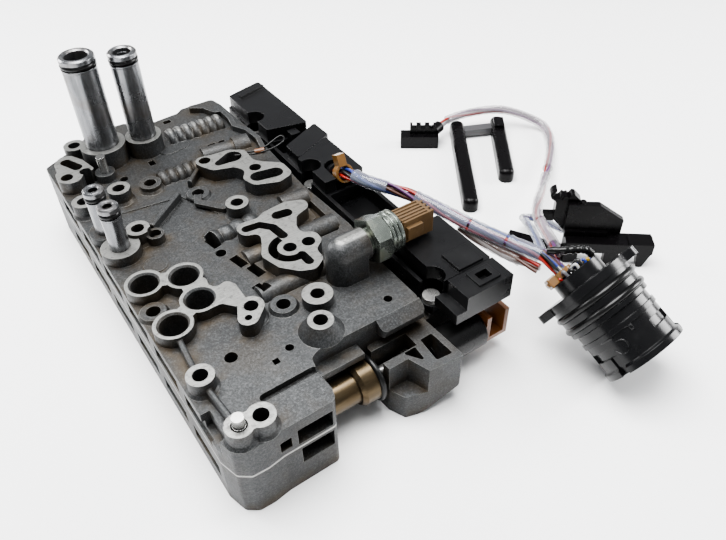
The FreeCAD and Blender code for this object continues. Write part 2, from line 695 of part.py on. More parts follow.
def bore_bulge(start, end, radius, ridges):
    """The round bulge over a valve bore, with shallow rings where the bore has ports."""
    length = math.dist(start, end)
    low = radius - RIDGE_DEPTH if ridges else radius
    pitch = length / max(ridges, 1)
    edges = [Part.LineSegment(vec(0, 0, 0), vec(0, 0, low)).toShape()]
    for k in range(ridges):
        foot = vec(k * pitch, 0, low)
        crest = vec((k + 0.5) * pitch, 0, radius)
        edges.append(Part.Arc(foot, crest, vec((k + 1) * pitch, 0, low)).toShape())
    if not ridges:
        edges.append(Part.LineSegment(vec(0, 0, low), vec(length, 0, low)).toShape())
    edges.append(Part.LineSegment(vec(length, 0, low), vec(length, 0, 0)).toShape())
    edges.append(Part.LineSegment(vec(length, 0, 0), vec(0, 0, 0)).toShape())
    bulge = Part.Face(Part.Wire(edges)).revolve(vec(0, 0, 0), vec(1, 0, 0), 360)
    bulge.rotate(vec(0, 0, 0), vec(0, 0, 1), math.degrees(math.atan2(end[1] - start[1], end[0] - start[0])))
    bulge.translate(vec(*start, DECK_Z - BULGE_AXIS_DROP))
    return bulge


def rounded_rib(p, q):
    """A straight rib with its top edges rounded."""
    rib = strip(p, q, RIB_W, DECK_Z - 1.0, DECK_Z + RIB_RISE)
    top = [edge for edge in rib.Edges if min(v.Z for v in edge.Vertexes) > DECK_Z + 1.0]
    return rib.makeFillet(RIB_EDGE_R, top)


def elbow():
    """The cast elbow that carries the pressure sensor."""
    ball = Part.makeSphere(ELBOW_R, vec(ELBOW_X, ELBOW_Y, ELBOW_AXIS_Z))
    upright = post(ELBOW_X, ELBOW_Y, PARTING_Z, ELBOW_AXIS_Z, ELBOW_R)
    arm = bar_x(ELBOW_X, ELBOW_END_X, ELBOW_Y, ELBOW_AXIS_Z, ELBOW_R)
    web_x1 = ELBOW_END_X - 2.5
    web = box(ELBOW_X, web_x1, ELBOW_Y - ELBOW_R, ELBOW_Y + ELBOW_R, PARTING_Z, ELBOW_AXIS_Z)
    return [upright, ball, arm, web]


def front_lip():
    """The sloping lip at the deck's front right and the ledge left of it."""
    y1 = FRONT_STEP_Y + 1.0
    y0 = FRONT_STEP_Y - LIP_LENGTH_Y
    profile = [
        (y1, DECK_Z - LIP_DROP), (y1, DECK_Z), (FRONT_STEP_Y, DECK_Z), (y0, DECK_Z - LIP_DROP),
        (y0 + LIP_UNDERCUT, LIP_BOTTOM_Z), (y1, LIP_BOTTOM_Z),
    ]
    wire = Part.makePolygon([vec(LIP_X0, y, z) for y, z in profile + profile[:1]])
    lip = Part.Face(wire).extrude(vec(CASE_RIGHT - LIP_X0, 0, 0))
    back = y1 + 2 * LIP_END_R
    plan = [(LIP_X0, y0), (CASE_RIGHT, y0), (CASE_RIGHT, back), (LIP_X0, back)]
    lip = lip.common(prism(plan, LIP_END_R, LIP_BOTTOM_Z, DECK_Z))
    ledge = box(LEDGE_X0, LEDGE_X1, LEDGE_Y0, FRONT_STEP_Y + 2.0, LEDGE_Z0, LEDGE_Z1)
    return [lip, ledge]


def large_port_platform():
    """The platform round the four large ports, without its bores."""
    rim = PORT_R + PORT_WALL
    solids = [post(x, y, PARTING_Z, PLATFORM_Z, rim) for x, y in PORTS]
    links = list(zip(PORTS, PORTS[1:]))
    for a, b in links:
        solids.append(strip(a, b, PORT_LINK_W, DECK_Z - 1.0, PLATFORM_Z))
    solids.append(prism(PLATFORM_PAD, 3.0, DECK_Z - 1.0, PLATFORM_Z))
    return solids


def c_channel():
    """The C-shaped groove round one hole of the front island."""
    x, y = ISLAND_HOLES[2]
    outer = Part.makeCylinder(
        C_CHANNEL_OUTER_R, ISLAND_Z - CHANNEL_FLOOR_Z + 1, vec(x, y, CHANNEL_FLOOR_Z), vec(0, 0, 1), C_CHANNEL_SWEEP
    )
    outer.rotate(vec(x, y), vec(0, 0, 1), C_CHANNEL_START)
    return outer.cut(post(x, y, CHANNEL_FLOOR_Z - 1, ISLAND_Z + 2, C_CHANNEL_INNER_R))


def left_side_panels(z):
    """Shallow cast panels along the left wall, centred on one level."""
    z0 = z - SIDE_PANEL_H / 2
    z1 = z + SIDE_PANEL_H / 2
    half = SIDE_PANEL_L / 2
    x1 = CASE_LEFT + SIDE_PANEL_DEPTH
    return [box(CASE_LEFT - 1, x1, y - half, y + half, z0, z1) for y in SIDE_PANELS_Y]


def front_window(x0, x1, z0, z1, depth):
    """A window in the front face."""
    return box(x0, x1, CASE_FRONT - 3, CASE_FRONT + depth, z0, z1)


def upper_valve_casing():
    """The upper casting with everything that stands on its deck."""
    trough = prism(TROUGH, 2.0, DECK_Z - TROUGH_DEPTH, DECK_Z + 1.0)
    solids = [prism(case_outline(0.0), CORNER_R, PARTING_Z, DECK_Z).cut(trough)]
    for x, y in THROUGH_BOSSES.values():
        solids += bolt_boss(x, y, BOSS_R, ISLAND_Z)
    for x, y, rise in BLIND_BOSSES.values():
        solids += bolt_boss(x, y, BOSS_R, DECK_Z + rise)
    solids += bolt_boss(0.0, 0.0, BOSS_R, ISLAND_Z)
    front = THROUGH_BOSSES["front"]
    solids.append(strip((0.0, 0.0), front, 2 * BOSS_R - 3.0, PARTING_Z, ISLAND_Z))
    centre_front = THROUGH_BOSSES["centre front"]
    solids.append(capsule(centre_front, BOSS_R, SMALL_HOLE, 4.8, DECK_Z - 1.0, ISLAND_Z))
    solids.append(post(*RING_BOSS, PARTING_Z, DECK_Z + RING_BOSS_RISE, RING_BOSS_R))
    solids.append(Part.makeCone(
        DOME_BOSS_R, DOME_FLAT_R, DOME_BOSS_RISE, vec(DOME_BOSS[0], DOME_BOSS[1], DECK_Z - 0.2)
    ))
    cup_x = BLIND_BOSSES["left rib"][0] + CUP_OFFSET[0]
    cup_y = BLIND_BOSSES["left rib"][1] + CUP_OFFSET[1]
    solids.append(post(cup_x, cup_y, PARTING_Z, DECK_Z + CUP_RISE, CUP_R))
    solids += large_port_platform()
    for outline in (LEFT_ISLAND, REAR_ISLAND, FRONT_ISLAND):
        solids.append(prism(outline, ISLAND_CORNER_R, DECK_Z - 1.0, ISLAND_Z))
    solids += [bore_bulge(*bulge) for bulge in BORE_BULGES]
    for x, y, radius, wall, top, collar_r, collar_z in TUBES.values():
        solids.append(post(x, y, PARTING_Z, collar_z, collar_r))
    solids += [rounded_rib(a, b) for a, b in RIBS]
    solids.append(channel(WEB, WEB_R, DECK_Z - 1.0, DECK_Z + WEB_RISE))
    solids.append(channel(RIM_WALL, RIM_WALL_R, DECK_Z - 1.0, DECK_Z + RIM_RISE))
    solids.append(prism(RIM_BLOCK, 1.5, DECK_Z - 1.0, DECK_Z + RIM_RISE))
    solids.append(post(*REAR_DOWEL, PARTING_Z, REAR_DOWEL_BOSS_Z, REAR_DOWEL_BOSS_R))
    solids += elbow()
    solids += front_lip()
    solids.append(capsule(*OVAL_MARK, DECK_Z - 1.0, DECK_Z + MARK_RISE))
    solids.append(post(ROUND_MARK[0], ROUND_MARK[1], DECK_Z - 1.0, DECK_Z + MARK_RISE, ROUND_MARK[2]))
    body = join(solids)

    above = ISLAND_Z + 30.0
    tools = [post(x, y, PARTING_Z - 1, above, BOLT_R) for x, y in THROUGH_BOSSES.values()]
    tools += [post(x, y, BLIND_FLOOR_Z, above, BOLT_R) for x, y, rise in BLIND_BOSSES.values()]
    tools += [post(x, y, BLIND_FLOOR_Z, above, BOLT_R) for x, y in ISLAND_HOLES]
    tools += [post(x, y, BLIND_FLOOR_Z, above, radius) for x, y, radius in DECK_HOLES]
    tools += [post(*point, BLIND_FLOOR_Z, above, BOLT_R) for point in (RING_BOSS, DOME_BOSS)]
    tools.append(post(*SMALL_HOLE, BLIND_FLOOR_Z, above, SMALL_HOLE_R))
    tools.append(post(cup_x, cup_y, DECK_Z + 1.0, above, CUP_R - 1.4))
    for x, y in PORTS:
        tools.append(post(x, y, PARTING_Z - 1, above, PORT_R))
        top_r = PORT_R + PORT_CHAMFER
        tools.append(Part.makeCone(PORT_R, top_r + 0.2, PORT_CHAMFER + 0.2, vec(x, y, PLATFORM_Z - PORT_CHAMFER)))
    for p, p_radius, q, q_radius in ISLAND_SLOTS:
        tools.append(capsule(p, p_radius, q, q_radius, CHANNEL_FLOOR_Z, above))
    tools.append(channel(SNAKE_CHANNEL, SNAKE_R, CHANNEL_FLOOR_Z, above))
    tools.append(c_channel())
    for x, y, size_x, size_y, turn in WINDOWS:
        tools.append(turned_box(x, y, size_x, size_y, turn, DECK_Z - WINDOW_DEPTH, above))
    tools.append(prism(SUNK_TRIANGLE, 2.0, DECK_Z - SUNK_DEPTH, DECK_Z + 1.0).cut(
        join([strip(a, b, RIB_W + 1.0, DECK_Z - 3.0, above) for a, b in RIBS[:1]])
    ))
    tools.append(capsule(
        DECK_GROOVE[0], DECK_GROOVE_R, DECK_GROOVE[1], DECK_GROOVE_R, DECK_Z - DECK_GROOVE_DEPTH, above
    ))
    pocket_x1, pocket_y0, pocket_y1, pocket_z = EDGE_POCKET
    tools.append(box(CASE_LEFT - 1, pocket_x1, pocket_y0, pocket_y1, pocket_z, above))
    for x, y, radius, wall, top, collar_r, collar_z in TUBES.values():
        tools.append(post(x, y, collar_z - TUBE_SEAT_DEPTH, above, radius + PRESS_GAP))
        tools.append(post(x, y, PARTING_Z - 1, collar_z, radius - wall))
    tools.append(post(0.0, 0.0, PARTING_Z - 1, above, DOWEL_SHANK_R + PRESS_GAP))
    tools.append(post(0.0, 0.0, DOWEL_RECESS_Z, above, DOWEL_RECESS_R))
    tools.append(post(*REAR_DOWEL, REAR_DOWEL_FOOT_Z, above, DOWEL_R + PRESS_GAP))
    for x, y in CASING_SCREWS:
        tools.append(post(x, y, PARTING_Z - 1, PARTING_Z + CASING_THREAD_L + 1.0, CASING_SCREW_R + RUNNING_GAP))
    for x, y in CHECK_BALLS:
        tools.append(post(x, y, PARTING_Z - 1, PARTING_Z + 2 * BALL_R + BALL_POCKET_GAP, BALL_R + BALL_POCKET_GAP))
    tools.append(bar_x(ELBOW_END_X - SENSOR_BORE_L, ELBOW_END_X + 1, ELBOW_Y, ELBOW_AXIS_Z, SENSOR_BORE_R))
    tools += [front_window(*window) for window in UPPER_FRONT_WINDOWS]
    tools += left_side_panels((PARTING_Z + DECK_Z) / 2)
    return body.cut(tools).removeSplitter()


def rail_lug(y):
    """A lug on the lower casting that carries the contact rail, stepped clear of the upper casting's edge."""
    y0 = y - LUG_HALF_W
    y1 = y + LUG_HALF_W
    arm = box(CASE_RIGHT - 3.0, LUG_X1, y0, y1, LUG_Z0, LOWER_H)
    return arm.fuse(box(LUG_STEP_X, LUG_X1, y0, y1, LUG_Z0, RAIL_Z0))


def pilot_room():
    """The room that the castings and the plate leave round the pilot valve."""
    flange_x = PILOT_CAN_X0 + PILOT_CAN_L
    end_x = flange_x + PILOT_FLANGE_L + 2 * PILOT_SEAL_R
    can_room = bar_x(PILOT_CAN_X0 - 1.0, flange_x, PILOT_Y, PILOT_Z, PILOT_CAN_R + SEAT_GAP)
    flange_r = PILOT_FLANGE_R + PILOT_SEAL_R + SEAT_GAP
    return [can_room, bar_x(flange_x - SEAT_GAP, end_x + SEAT_GAP, PILOT_Y, PILOT_Z, flange_r)]


def lower_valve_casing():
    """The lower casting with the solenoid and spool bores, and the lugs under the rail."""
    body = join(
        [prism(case_outline(LOWER_SETBACK), CORNER_R, 0.0, LOWER_H)]
        + [rail_lug(y) for x, y in RAIL_SCREWS]
    )
    tools = [post(x, y, -1, LOWER_H + 1, BOLT_R) for x, y in THROUGH_BOSSES.values()]
    tools.append(post(0.0, 0.0, DOWEL_FOOT_Z, LOWER_H + 1, DOWEL_SHANK_R + PRESS_GAP))
    for x, y in CASING_SCREWS:
        tools.append(post(x, y, -1, LOWER_H + 1, CASING_SCREW_R + SEAT_GAP))
        tools.append(post(x, y, -1, CASING_HEAD_SINK, CASING_HEAD_R + SEAT_GAP))
    for station, y in enumerate(SOLENOID_Y[1:], start=1):
        bore_x0 = SOLENOID_X0 - SOLENOID_FLANGE_T - NOSE_L - 1.0
        tools.append(bar_x(bore_x0, CASE_RIGHT + 9.0, y, SOLENOID_Z, NOSE_R + RUNNING_GAP))
        tools.append(bar_x(SOLENOID_X0 - SOLENOID_FLANGE_T, CASE_RIGHT + 9.0, y, SOLENOID_Z, SOLENOID_FLANGE_R + 1.0))
        if station in SPOOL_STATIONS:
            tools.append(bar_x(BORE_FLOOR_X, bore_x0 + 1.0, y, SOLENOID_Z, SPOOL_R + RUNNING_GAP))
    for x, y in RAIL_SCREWS:
        tools.append(post(x, y, LUG_Z0 + 3.0, RAIL_Z0 + 1, RAIL_SCREW_R + RUNNING_GAP))
    tools.append(front_window(*LOWER_FRONT_WINDOW))
    tools += pilot_room()
    tools += left_side_panels(LOWER_H / 2)
    return body.cut(tools).removeSplitter()


def separator_plate():
    """The steel sheet between the castings, with its passages."""
    sheet = prism(case_outline(0.0), CORNER_R, LOWER_H, PARTING_Z)
    below = LOWER_H - 1
    above = PARTING_Z + 1
    tools = [post(x, y, below, above, BOLT_R) for x, y in THROUGH_BOSSES.values()]
    tools += [post(x, y, below, above, CASING_SCREW_R + SEAT_GAP) for x, y in CASING_SCREWS]
    tools += [post(x, y, below, above, PORT_DRAIN_R) for x, y in PORTS]
    tools += [post(x, y, below, above, BALL_R * 0.6) for x, y in CHECK_BALLS]
    tools.append(post(0.0, 0.0, below, above, DOWEL_SHANK_R + PRESS_GAP))
    tools += pilot_room()
    return sheet.cut(tools)


def feed_tube(x, y, radius, wall, top, collar_z):
    """A tube with a thick lip and a seal groove just below it."""
    bore = radius - wall
    groove_z1 = top - TUBE_LIP_H
    groove_z0 = groove_z1 - 2 * SEAL_CORD_R
    groove_r = radius - 2 * SEAL_CORD_R + SEAL_STAND
    lip = radius + TUBE_LIP_PROUD
    foot = collar_z - TUBE_SEAT_DEPTH
    edge = TUBE_LIP_CHAMFER
    tube = turned([
        (bore, foot), (radius, foot), (radius, groove_z0 - TUBE_SHOULDER), (lip, groove_z0 - TUBE_SHOULDER + TUBE_STEP),
        (lip, groove_z0), (groove_r, groove_z0), (groove_r, groove_z1), (lip, groove_z1), (lip, top - edge),
        (lip - edge, top), (bore + edge, top), (bore, top - edge),
    ])
    tube.translate(vec(x, y))
    return tube


def tube_seal(x, y, radius, top):
    """The seal ring that fills a tube's groove and stands a little proud."""
    middle = radius - SEAL_CORD_R + SEAL_STAND
    seal = ring(middle, SEAL_CORD_R - 0.01, top - TUBE_LIP_H - SEAL_CORD_R)
    seal.translate(vec(x, y))
    return seal


def front_dowel_pin():
    """The locating pin: a shank pressed into both castings and a guide that stands out of the boss."""
    shank = post(0.0, 0.0, DOWEL_FOOT_Z, ISLAND_Z, DOWEL_SHANK_R)
    return shank.fuse(post(0.0, 0.0, ISLAND_Z, DOWEL_TOP_Z, DOWEL_R))


def casing_screws():
    """The socket-head screws from below."""
    screws = []
    for x, y in CASING_SCREWS:
        head = post(x, y, CASING_HEAD_SINK - CASING_HEAD_H, CASING_HEAD_SINK, CASING_HEAD_R)
        shank = post(x, y, CASING_HEAD_SINK, PARTING_Z + CASING_THREAD_L, CASING_SCREW_R)
        key = hexagon(HEX_KEY_AF, CASING_HEAD_SINK - CASING_HEAD_H - 1, CASING_HEAD_SINK - CASING_HEAD_H + HEX_KEY_DEPTH)
        key.translate(vec(x, y))
        screws.append(join([head, shank]).cut(key))
    return Part.makeCompound(screws)


def check_balls():
    """Balls that lie loose in their pockets on the plate."""
    seat = PARTING_Z + BALL_R
    return Part.makeCompound([Part.makeSphere(BALL_R, vec(x, y, seat)) for x, y in CHECK_BALLS])


def solenoid(y):
    """A solenoid: can, flange and nose, along X."""
    nose_l = NOSE_L if y > FRONT_STEP_Y else 3.0
    profile = [
        (0.0, -SOLENOID_FLANGE_T - nose_l), (NOSE_R, -SOLENOID_FLANGE_T - nose_l), (NOSE_R, -SOLENOID_FLANGE_T),
        (SOLENOID_FLANGE_R, -SOLENOID_FLANGE_T), (SOLENOID_FLANGE_R, 0.0), (SOLENOID_R, 0.0),
        (SOLENOID_R, SOLENOID_L - 1.0), (SOLENOID_R - 1.0, SOLENOID_L), (0.0, SOLENOID_L),
    ]
    if y > FRONT_STEP_Y:
        groove = -SOLENOID_FLANGE_T - nose_l + 4.0
        deep = NOSE_R - 2 * NOSE_SEAL_R
        profile[2:2] = [
            (NOSE_R, groove), (deep, groove), (deep, groove + 2 * NOSE_SEAL_R), (NOSE_R, groove + 2 * NOSE_SEAL_R),
        ]
    return along_x(turned(profile), SOLENOID_X0, y, SOLENOID_Z)


def solenoid_seals():
    """The seal rings in the noses' grooves."""
    seals = []
    for y in SOLENOID_Y[1:]:
        groove = -SOLENOID_FLANGE_T - NOSE_L + 4.0 + NOSE_SEAL_R
        seals.append(along_x(ring(NOSE_R - NOSE_SEAL_R, NOSE_SEAL_R - 0.01, groove), SOLENOID_X0, y, SOLENOID_Z))
    return Part.makeCompound(seals)


def solenoid_cap(y):
    """The connector cap on a solenoid's end: a U with two upright prongs and a tongue between them."""
    x0 = SOLENOID_X0 + SOLENOID_L
    x1 = x0 + CAP_L
    half = CAP_W / 2
    z0 = SOLENOID_Z + CAP_RAISE - CAP_H / 2
    z1 = z0 + CAP_H
    outer = box(x0, x1, y - half, y + half, z0, z1)
    mouth = box(x0 + CAP_WALL, x1 - CAP_WALL, y - half - 1, y + half + 1, z0 + CAP_WALL, z1 + 1)
    tongue = box(x0, x0 + CAP_WALL + CAP_TONGUE, y - half / 2, y + half / 2, z0, z0 + 2 * CAP_WALL)
    return outer.cut(mouth).fuse(tongue).removeSplitter()


def spool_valve(y):
    """A spool with lands and necks, along X."""
    gap = (SPOOL_L - SPOOL_LANDS * SPOOL_LAND_L) / (SPOOL_LANDS - 1)
    profile = [(0.0, 0.0)]
    z = 0.0
    for k in range(SPOOL_LANDS):
        profile += [(SPOOL_R, z), (SPOOL_R, z + SPOOL_LAND_L)]
        z += SPOOL_LAND_L
        if k < SPOOL_LANDS - 1:
            profile += [(SPOOL_NECK_R, z), (SPOOL_NECK_R, z + gap)]
            z += gap
    profile.append((0.0, z))
    return along_x(turned(profile), BORE_FLOOR_X + SPRING_L, y, SOLENOID_Z)


def valve_spring(y):
    """The return spring between the bore's floor and the spool."""
    return along_x(coil(SPRING_R, SPRING_WIRE_R, SPRING_L, SPRING_TURNS), BORE_FLOOR_X, y, SOLENOID_Z)


def end_bracket():
    """The small casting at the front right corner."""
    body = prism(BRACKET_OUTLINE, BRACKET_CORNER_R, 0.0, BRACKET_TOP_Z)
    above = BRACKET_TOP_Z + 1
    tools = [prism(BRACKET_NOTCH, 0.5, BRACKET_NOTCH_Z, above)]
    tools.append(prism(BRACKET_POCKET, 1.0, BRACKET_POCKET_FLOOR_Z, above))
    tools.append(prism(BRACKET_SMALL_POCKET, 0.8, BRACKET_NOTCH_Z, above))
    half = STEM_CHANNEL_HALF_W
    tools.append(box(BRACKET_CUT_X0, STEM_CHANNEL_X1, PILOT_Y - half, PILOT_Y + half, PILOT_Z, above))
    tools.append(bar_x(BRACKET_CUT_X0, STEM_CHANNEL_X1, PILOT_Y, PILOT_Z, half))
    (slope_x0, slope_z0), (slope_x1, slope_z1) = BRACKET_SLOPE
    slope = [(slope_x0, slope_z0), (slope_x1, slope_z1), (slope_x1, slope_z0 - 1.0), (slope_x0, slope_z0 - 1.0)]
    tools.append(upright_panel(slope, -20.0, FRONT_STEP_Y + 1.0))
    nose_x0 = SOLENOID_X0 - SOLENOID_FLANGE_T - 3.0
    tools.append(bar_x(nose_x0, RAIL_X0, SOLENOID_Y[0], SOLENOID_Z, NOSE_R + RUNNING_GAP))
    flange_x0 = SOLENOID_X0 - SOLENOID_FLANGE_T
    tools.append(bar_x(flange_x0, RAIL_X0, SOLENOID_Y[0], SOLENOID_Z, SOLENOID_FLANGE_R + 1.0))
    return body.cut(tools).removeSplitter()


def pilot_valve():
    """The fixed part of the pilot valve: can, stepped flange and seal groove, bored for its stem."""
    flange_x = PILOT_CAN_X0 + PILOT_CAN_L
    end_x = flange_x + PILOT_FLANGE_L
    seal_w = 2 * PILOT_SEAL_R
    profile = [
        (0.0, 0.0), (PILOT_CAN_R - 1.0, 0.0), (PILOT_CAN_R, 1.0), (PILOT_CAN_R, PILOT_CAN_L),
        (PILOT_FLANGE_R - 1.6, PILOT_CAN_L), (PILOT_FLANGE_R, PILOT_CAN_L + 2.0),
        (PILOT_FLANGE_R, PILOT_CAN_L + PILOT_FLANGE_L),
        (PILOT_FLANGE_R - PILOT_SEAL_R, PILOT_CAN_L + PILOT_FLANGE_L),
        (PILOT_FLANGE_R - PILOT_SEAL_R, PILOT_CAN_L + PILOT_FLANGE_L + seal_w),
        (0.0, PILOT_CAN_L + PILOT_FLANGE_L + seal_w),
    ]
    body = along_x(turned(profile), PILOT_CAN_X0, PILOT_Y, PILOT_Z)
    bore_x0 = STEM_CHANNEL_X1 - STEM_SPRING_L - STEM_L - SEAT_GAP
    return body.cut(bar_x(bore_x0, end_x + seal_w + 1, PILOT_Y, PILOT_Z, STEM_R + RUNNING_GAP))


def pilot_seal():
    """The seal ring on the pilot valve's end."""
    z = PILOT_CAN_L + PILOT_FLANGE_L + PILOT_SEAL_R
    return along_x(ring(PILOT_FLANGE_R, PILOT_SEAL_R - 0.01, z), PILOT_CAN_X0, PILOT_Y, PILOT_Z)


def pilot_stem():
    """The stem that slides in the pilot valve, grooved near its end."""
    neck = STEM_R - 0.9
    profile = [
        (0.0, 0.0), (STEM_R, 0.0), (STEM_R, STEM_L - 6.0), (neck, STEM_L - 6.0), (neck, STEM_L - 4.0),
        (STEM_R, STEM_L - 4.0), (STEM_R, STEM_L), (0.0, STEM_L),
    ]
    return along_x(turned(profile), STEM_CHANNEL_X1 - STEM_SPRING_L - STEM_L, PILOT_Y, PILOT_Z)


def pilot_spring():
    """The coil between the stem's end and the bracket."""
    spring = coil(STEM_SPRING_R, SPRING_WIRE_R, STEM_SPRING_L, 3)
    return along_x(spring, STEM_CHANNEL_X1 - STEM_SPRING_L, PILOT_Y, PILOT_Z)


def pressure_sensor():
    """The steel body: thread, bevelled hexagon and a can with rings round it."""
    hex_z0 = SENSOR_SEAL_T
    hex_z1 = hex_z0 + HEX_L
    corner = HEX_AF / math.sqrt(3)
    bevel = [(0.0, hex_z0), (corner, hex_z0), (corner, hex_z1 - HEX_BEVEL), (HEX_AF / 2, hex_z1), (0.0, hex_z1)]
    pitch = SENSOR_CAN_L / SENSOR_CAN_RINGS
    can = [(0.0, hex_z1)]
    for k in range(SENSOR_CAN_RINGS):
        z = hex_z1 + k * pitch
        can += [(SENSOR_CAN_R - SENSOR_RING_DEPTH, z), (SENSOR_CAN_R, z + pitch / 4), (SENSOR_CAN_R, z + 3 * pitch / 4)]
    can += [(SENSOR_CAN_R - SENSOR_RING_DEPTH, hex_z1 + SENSOR_CAN_L), (0.0, hex_z1 + SENSOR_CAN_L)]
    body = join([
        post(0, 0, -SENSOR_BORE_L + 1.5, hex_z0, SENSOR_BORE_R - RUNNING_GAP),
        hexagon(HEX_AF, hex_z0, hex_z1).common(turned(bevel)),
        turned(can),
    ])
    return along_x(body, ELBOW_END_X, ELBOW_Y, ELBOW_AXIS_Z)


def sensor_seal():
    """The washer between the sensor and the elbow."""
    washer = post(0, 0, 0.0, SENSOR_SEAL_T, SENSOR_SEAL_R).cut(post(0, 0, -1, SENSOR_SEAL_T + 1, SENSOR_BORE_R))
    return along_x(washer, ELBOW_END_X, ELBOW_Y, ELBOW_AXIS_Z)


def sensor_plug():
    """The amber plug: neck, ribbed body with a toothed end, side tab and foot."""
    start = ELBOW_END_X + SENSOR_SEAL_T + HEX_L + SENSOR_CAN_L
    neck = bar_x(start, start + SENSOR_NECK_L, ELBOW_Y, ELBOW_AXIS_Z, SENSOR_NECK_R)
    x0 = start + PLUG_SETBACK
    x1 = x0 + PLUG_L
    y0 = ELBOW_Y - PLUG_W / 2
    y1 = ELBOW_Y + PLUG_W / 2
    z0 = ELBOW_AXIS_Z - PLUG_H / 2
    z1 = ELBOW_AXIS_Z + PLUG_H / 2
    grooves = []
    for k in range(PLUG_RIBS):
        y = ELBOW_Y + (k - (PLUG_RIBS - 1) / 2) * PLUG_RIB_PITCH
        grooves.append(box(x0 - 1, x1 - 3.0, y - PLUG_RIB_W / 2, y + PLUG_RIB_W / 2, z1 - PLUG_RIB_DEPTH, z1 + 1))
    tooth = PLUG_W / (2 * PLUG_TEETH)
    for k in range(PLUG_TEETH):
        y = y0 + (2 * k + 1) * tooth
        grooves.append(box(x1 - PLUG_TOOTH_DEPTH, x1 + 1, y, y + tooth, z0 + 2.0, z1 + 1))
    tab_x0, tab_x1, tab_out, tab_h = PLUG_TAB
    tab = box(x0 + tab_x0, x0 + tab_x1, y0 - tab_out, y0 + 1.0, ELBOW_AXIS_Z - tab_h / 2, ELBOW_AXIS_Z + tab_h / 2)
    foot_x0, foot_x1, foot_w, foot_h = PLUG_FOOT
    foot = box(x0 + foot_x0, x0 + foot_x1, ELBOW_Y - foot_w / 2, ELBOW_Y + foot_w / 2, z0 - foot_h, z0 + 1.0)
    return join([neck, box(x0, x1, y0, y1, z0, z1).cut(grooves), tab, foot])


def contact_rail():
    """The long black tray over the solenoids, with its raised block, front block and latches."""
    floor_z1 = RAIL_Z0 + RAIL_FLOOR_T
    rear = [
        (RAIL_X0, FRONT_COVER_Y1), (RAIL_X1, FRONT_COVER_Y1), (RAIL_X1, RAIL_Y1),
        (RAIL_X1 - 3.0, RAIL_Y1), (RAIL_X0, RAIL_Y1 - RAIL_REAR_SKEW),
    ]
    latch_x0, latch_x1, latch_y0, latch_y1, latch_rise = FRONT_LATCH
    tray = join([
        prism(rear, COVER_EDGE_R, RAIL_Z0, RAIL_WALL_Z),
        box(RAIL_X0, RAIL_FRONT_X1, RAIL_Y0, FRONT_COVER_Y1 + 2.0, RAIL_Z0, RAIL_WALL_Z),
        prism(RAISED_BLOCK, COVER_EDGE_R, RAIL_Z0, RAIL_TOP_Z),
        box(FRONT_BLOCK_X0, RAIL_FRONT_X1, RAIL_Y0, FRONT_BLOCK_Y1 - COVER_LIFT, RAIL_Z0, RAIL_TOP_Z),
        box(latch_x0, latch_x1, latch_y0, latch_y1, RAIL_TOP_Z - 1.0, RAIL_TOP_Z + latch_rise),
    ])
    inner_x0 = RAIL_X0 + RAIL_WALL
    inner_x1 = RAIL_X1 - RAIL_WALL
    window_x0, window_x1, window_y0, window_y1, window_depth = FRONT_LATCH_WINDOW
    above = RAIL_TOP_Z + 5.0
    tools = [
        box(inner_x0, inner_x1, FRONT_COVER_Y1 + 2.0, MIDDLE_COVER_Y0 - 2.0, floor_z1, above),
        box(inner_x0, RAIL_FRONT_X1 - RAIL_WALL, FRONT_BLOCK_Y1 + 2.0, FRONT_COVER_Y1, floor_z1, above),
        prism(MIDDLE_POCKET, COVER_EDGE_R, floor_z1, above),
        prism(GAP_POCKET, COVER_EDGE_R, floor_z1, above),
        prism(REAR_POCKET, COVER_EDGE_R, floor_z1, above),
        box(window_x0, window_x1, window_y0, window_y1, RAIL_TOP_Z - window_depth, above),
        box(RAIL_X0 - 1, RAIL_FRONT_X1 + 1, RAIL_Y0 - 1, RAIL_FRONT_CUT_Y, RAIL_Z0 - 1, RAIL_FRONT_CUT_Z),
    ]
    tools += [post(x, y, RAIL_SCREW_SEAT_Z, above, SCREW_WELL_R) for x, y in RAIL_SCREWS]
    posts = [post(x, y, floor_z1 - 1.0, RAIL_SCREW_SEAT_Z, SCREW_POST_R) for x, y in RAIL_SCREWS]
    holes = [post(x, y, RAIL_Z0 - 1, RAIL_TOP_Z, RAIL_SCREW_R + SEAT_GAP) for x, y in RAIL_SCREWS]
    gap_latch = box(*GAP_LATCH[:4], floor_z1 - 1.0, GAP_LATCH[4])
    return join([tray.cut(tools), gap_latch] + posts + harness_gland()).cut(holes)


def rail_screws():
    """The three screws that hold the rail down to its lugs."""
    screws = []
    for x, y in RAIL_SCREWS:
        head = post(x, y, RAIL_SCREW_SEAT_Z, RAIL_SCREW_SEAT_Z + RAIL_SCREW_HEAD_H, RAIL_SCREW_HEAD_R)
        shank = post(x, y, LUG_Z0 + 5.0, RAIL_SCREW_SEAT_Z, RAIL_SCREW_R)
        screws.append(join([head, shank]))
    return Part.makeCompound(screws)


def cover(outline, screw):
    """A cover plate that sits on the rail's walls, with a round bite for the screw at its left edge."""
    plate = prism(outline, COVER_EDGE_R, RAIL_WALL_Z, RAIL_TOP_Z)
    return plate.cut(post(screw[0], screw[1], RAIL_WALL_Z - 1, RAIL_TOP_Z + 1, SCREW_WELL_R))


def rear_cover():
    """The cover at the rear, with its skewed ends and a latch."""
    latch_start, latch_end, latch_w, latch_rise = REAR_LATCH
    latch = strip(latch_start, latch_end, latch_w, RAIL_TOP_Z - 1.0, RAIL_TOP_Z + latch_rise)
    return cover(REAR_COVER, RAIL_SCREWS[2]).fuse(latch).removeSplitter()


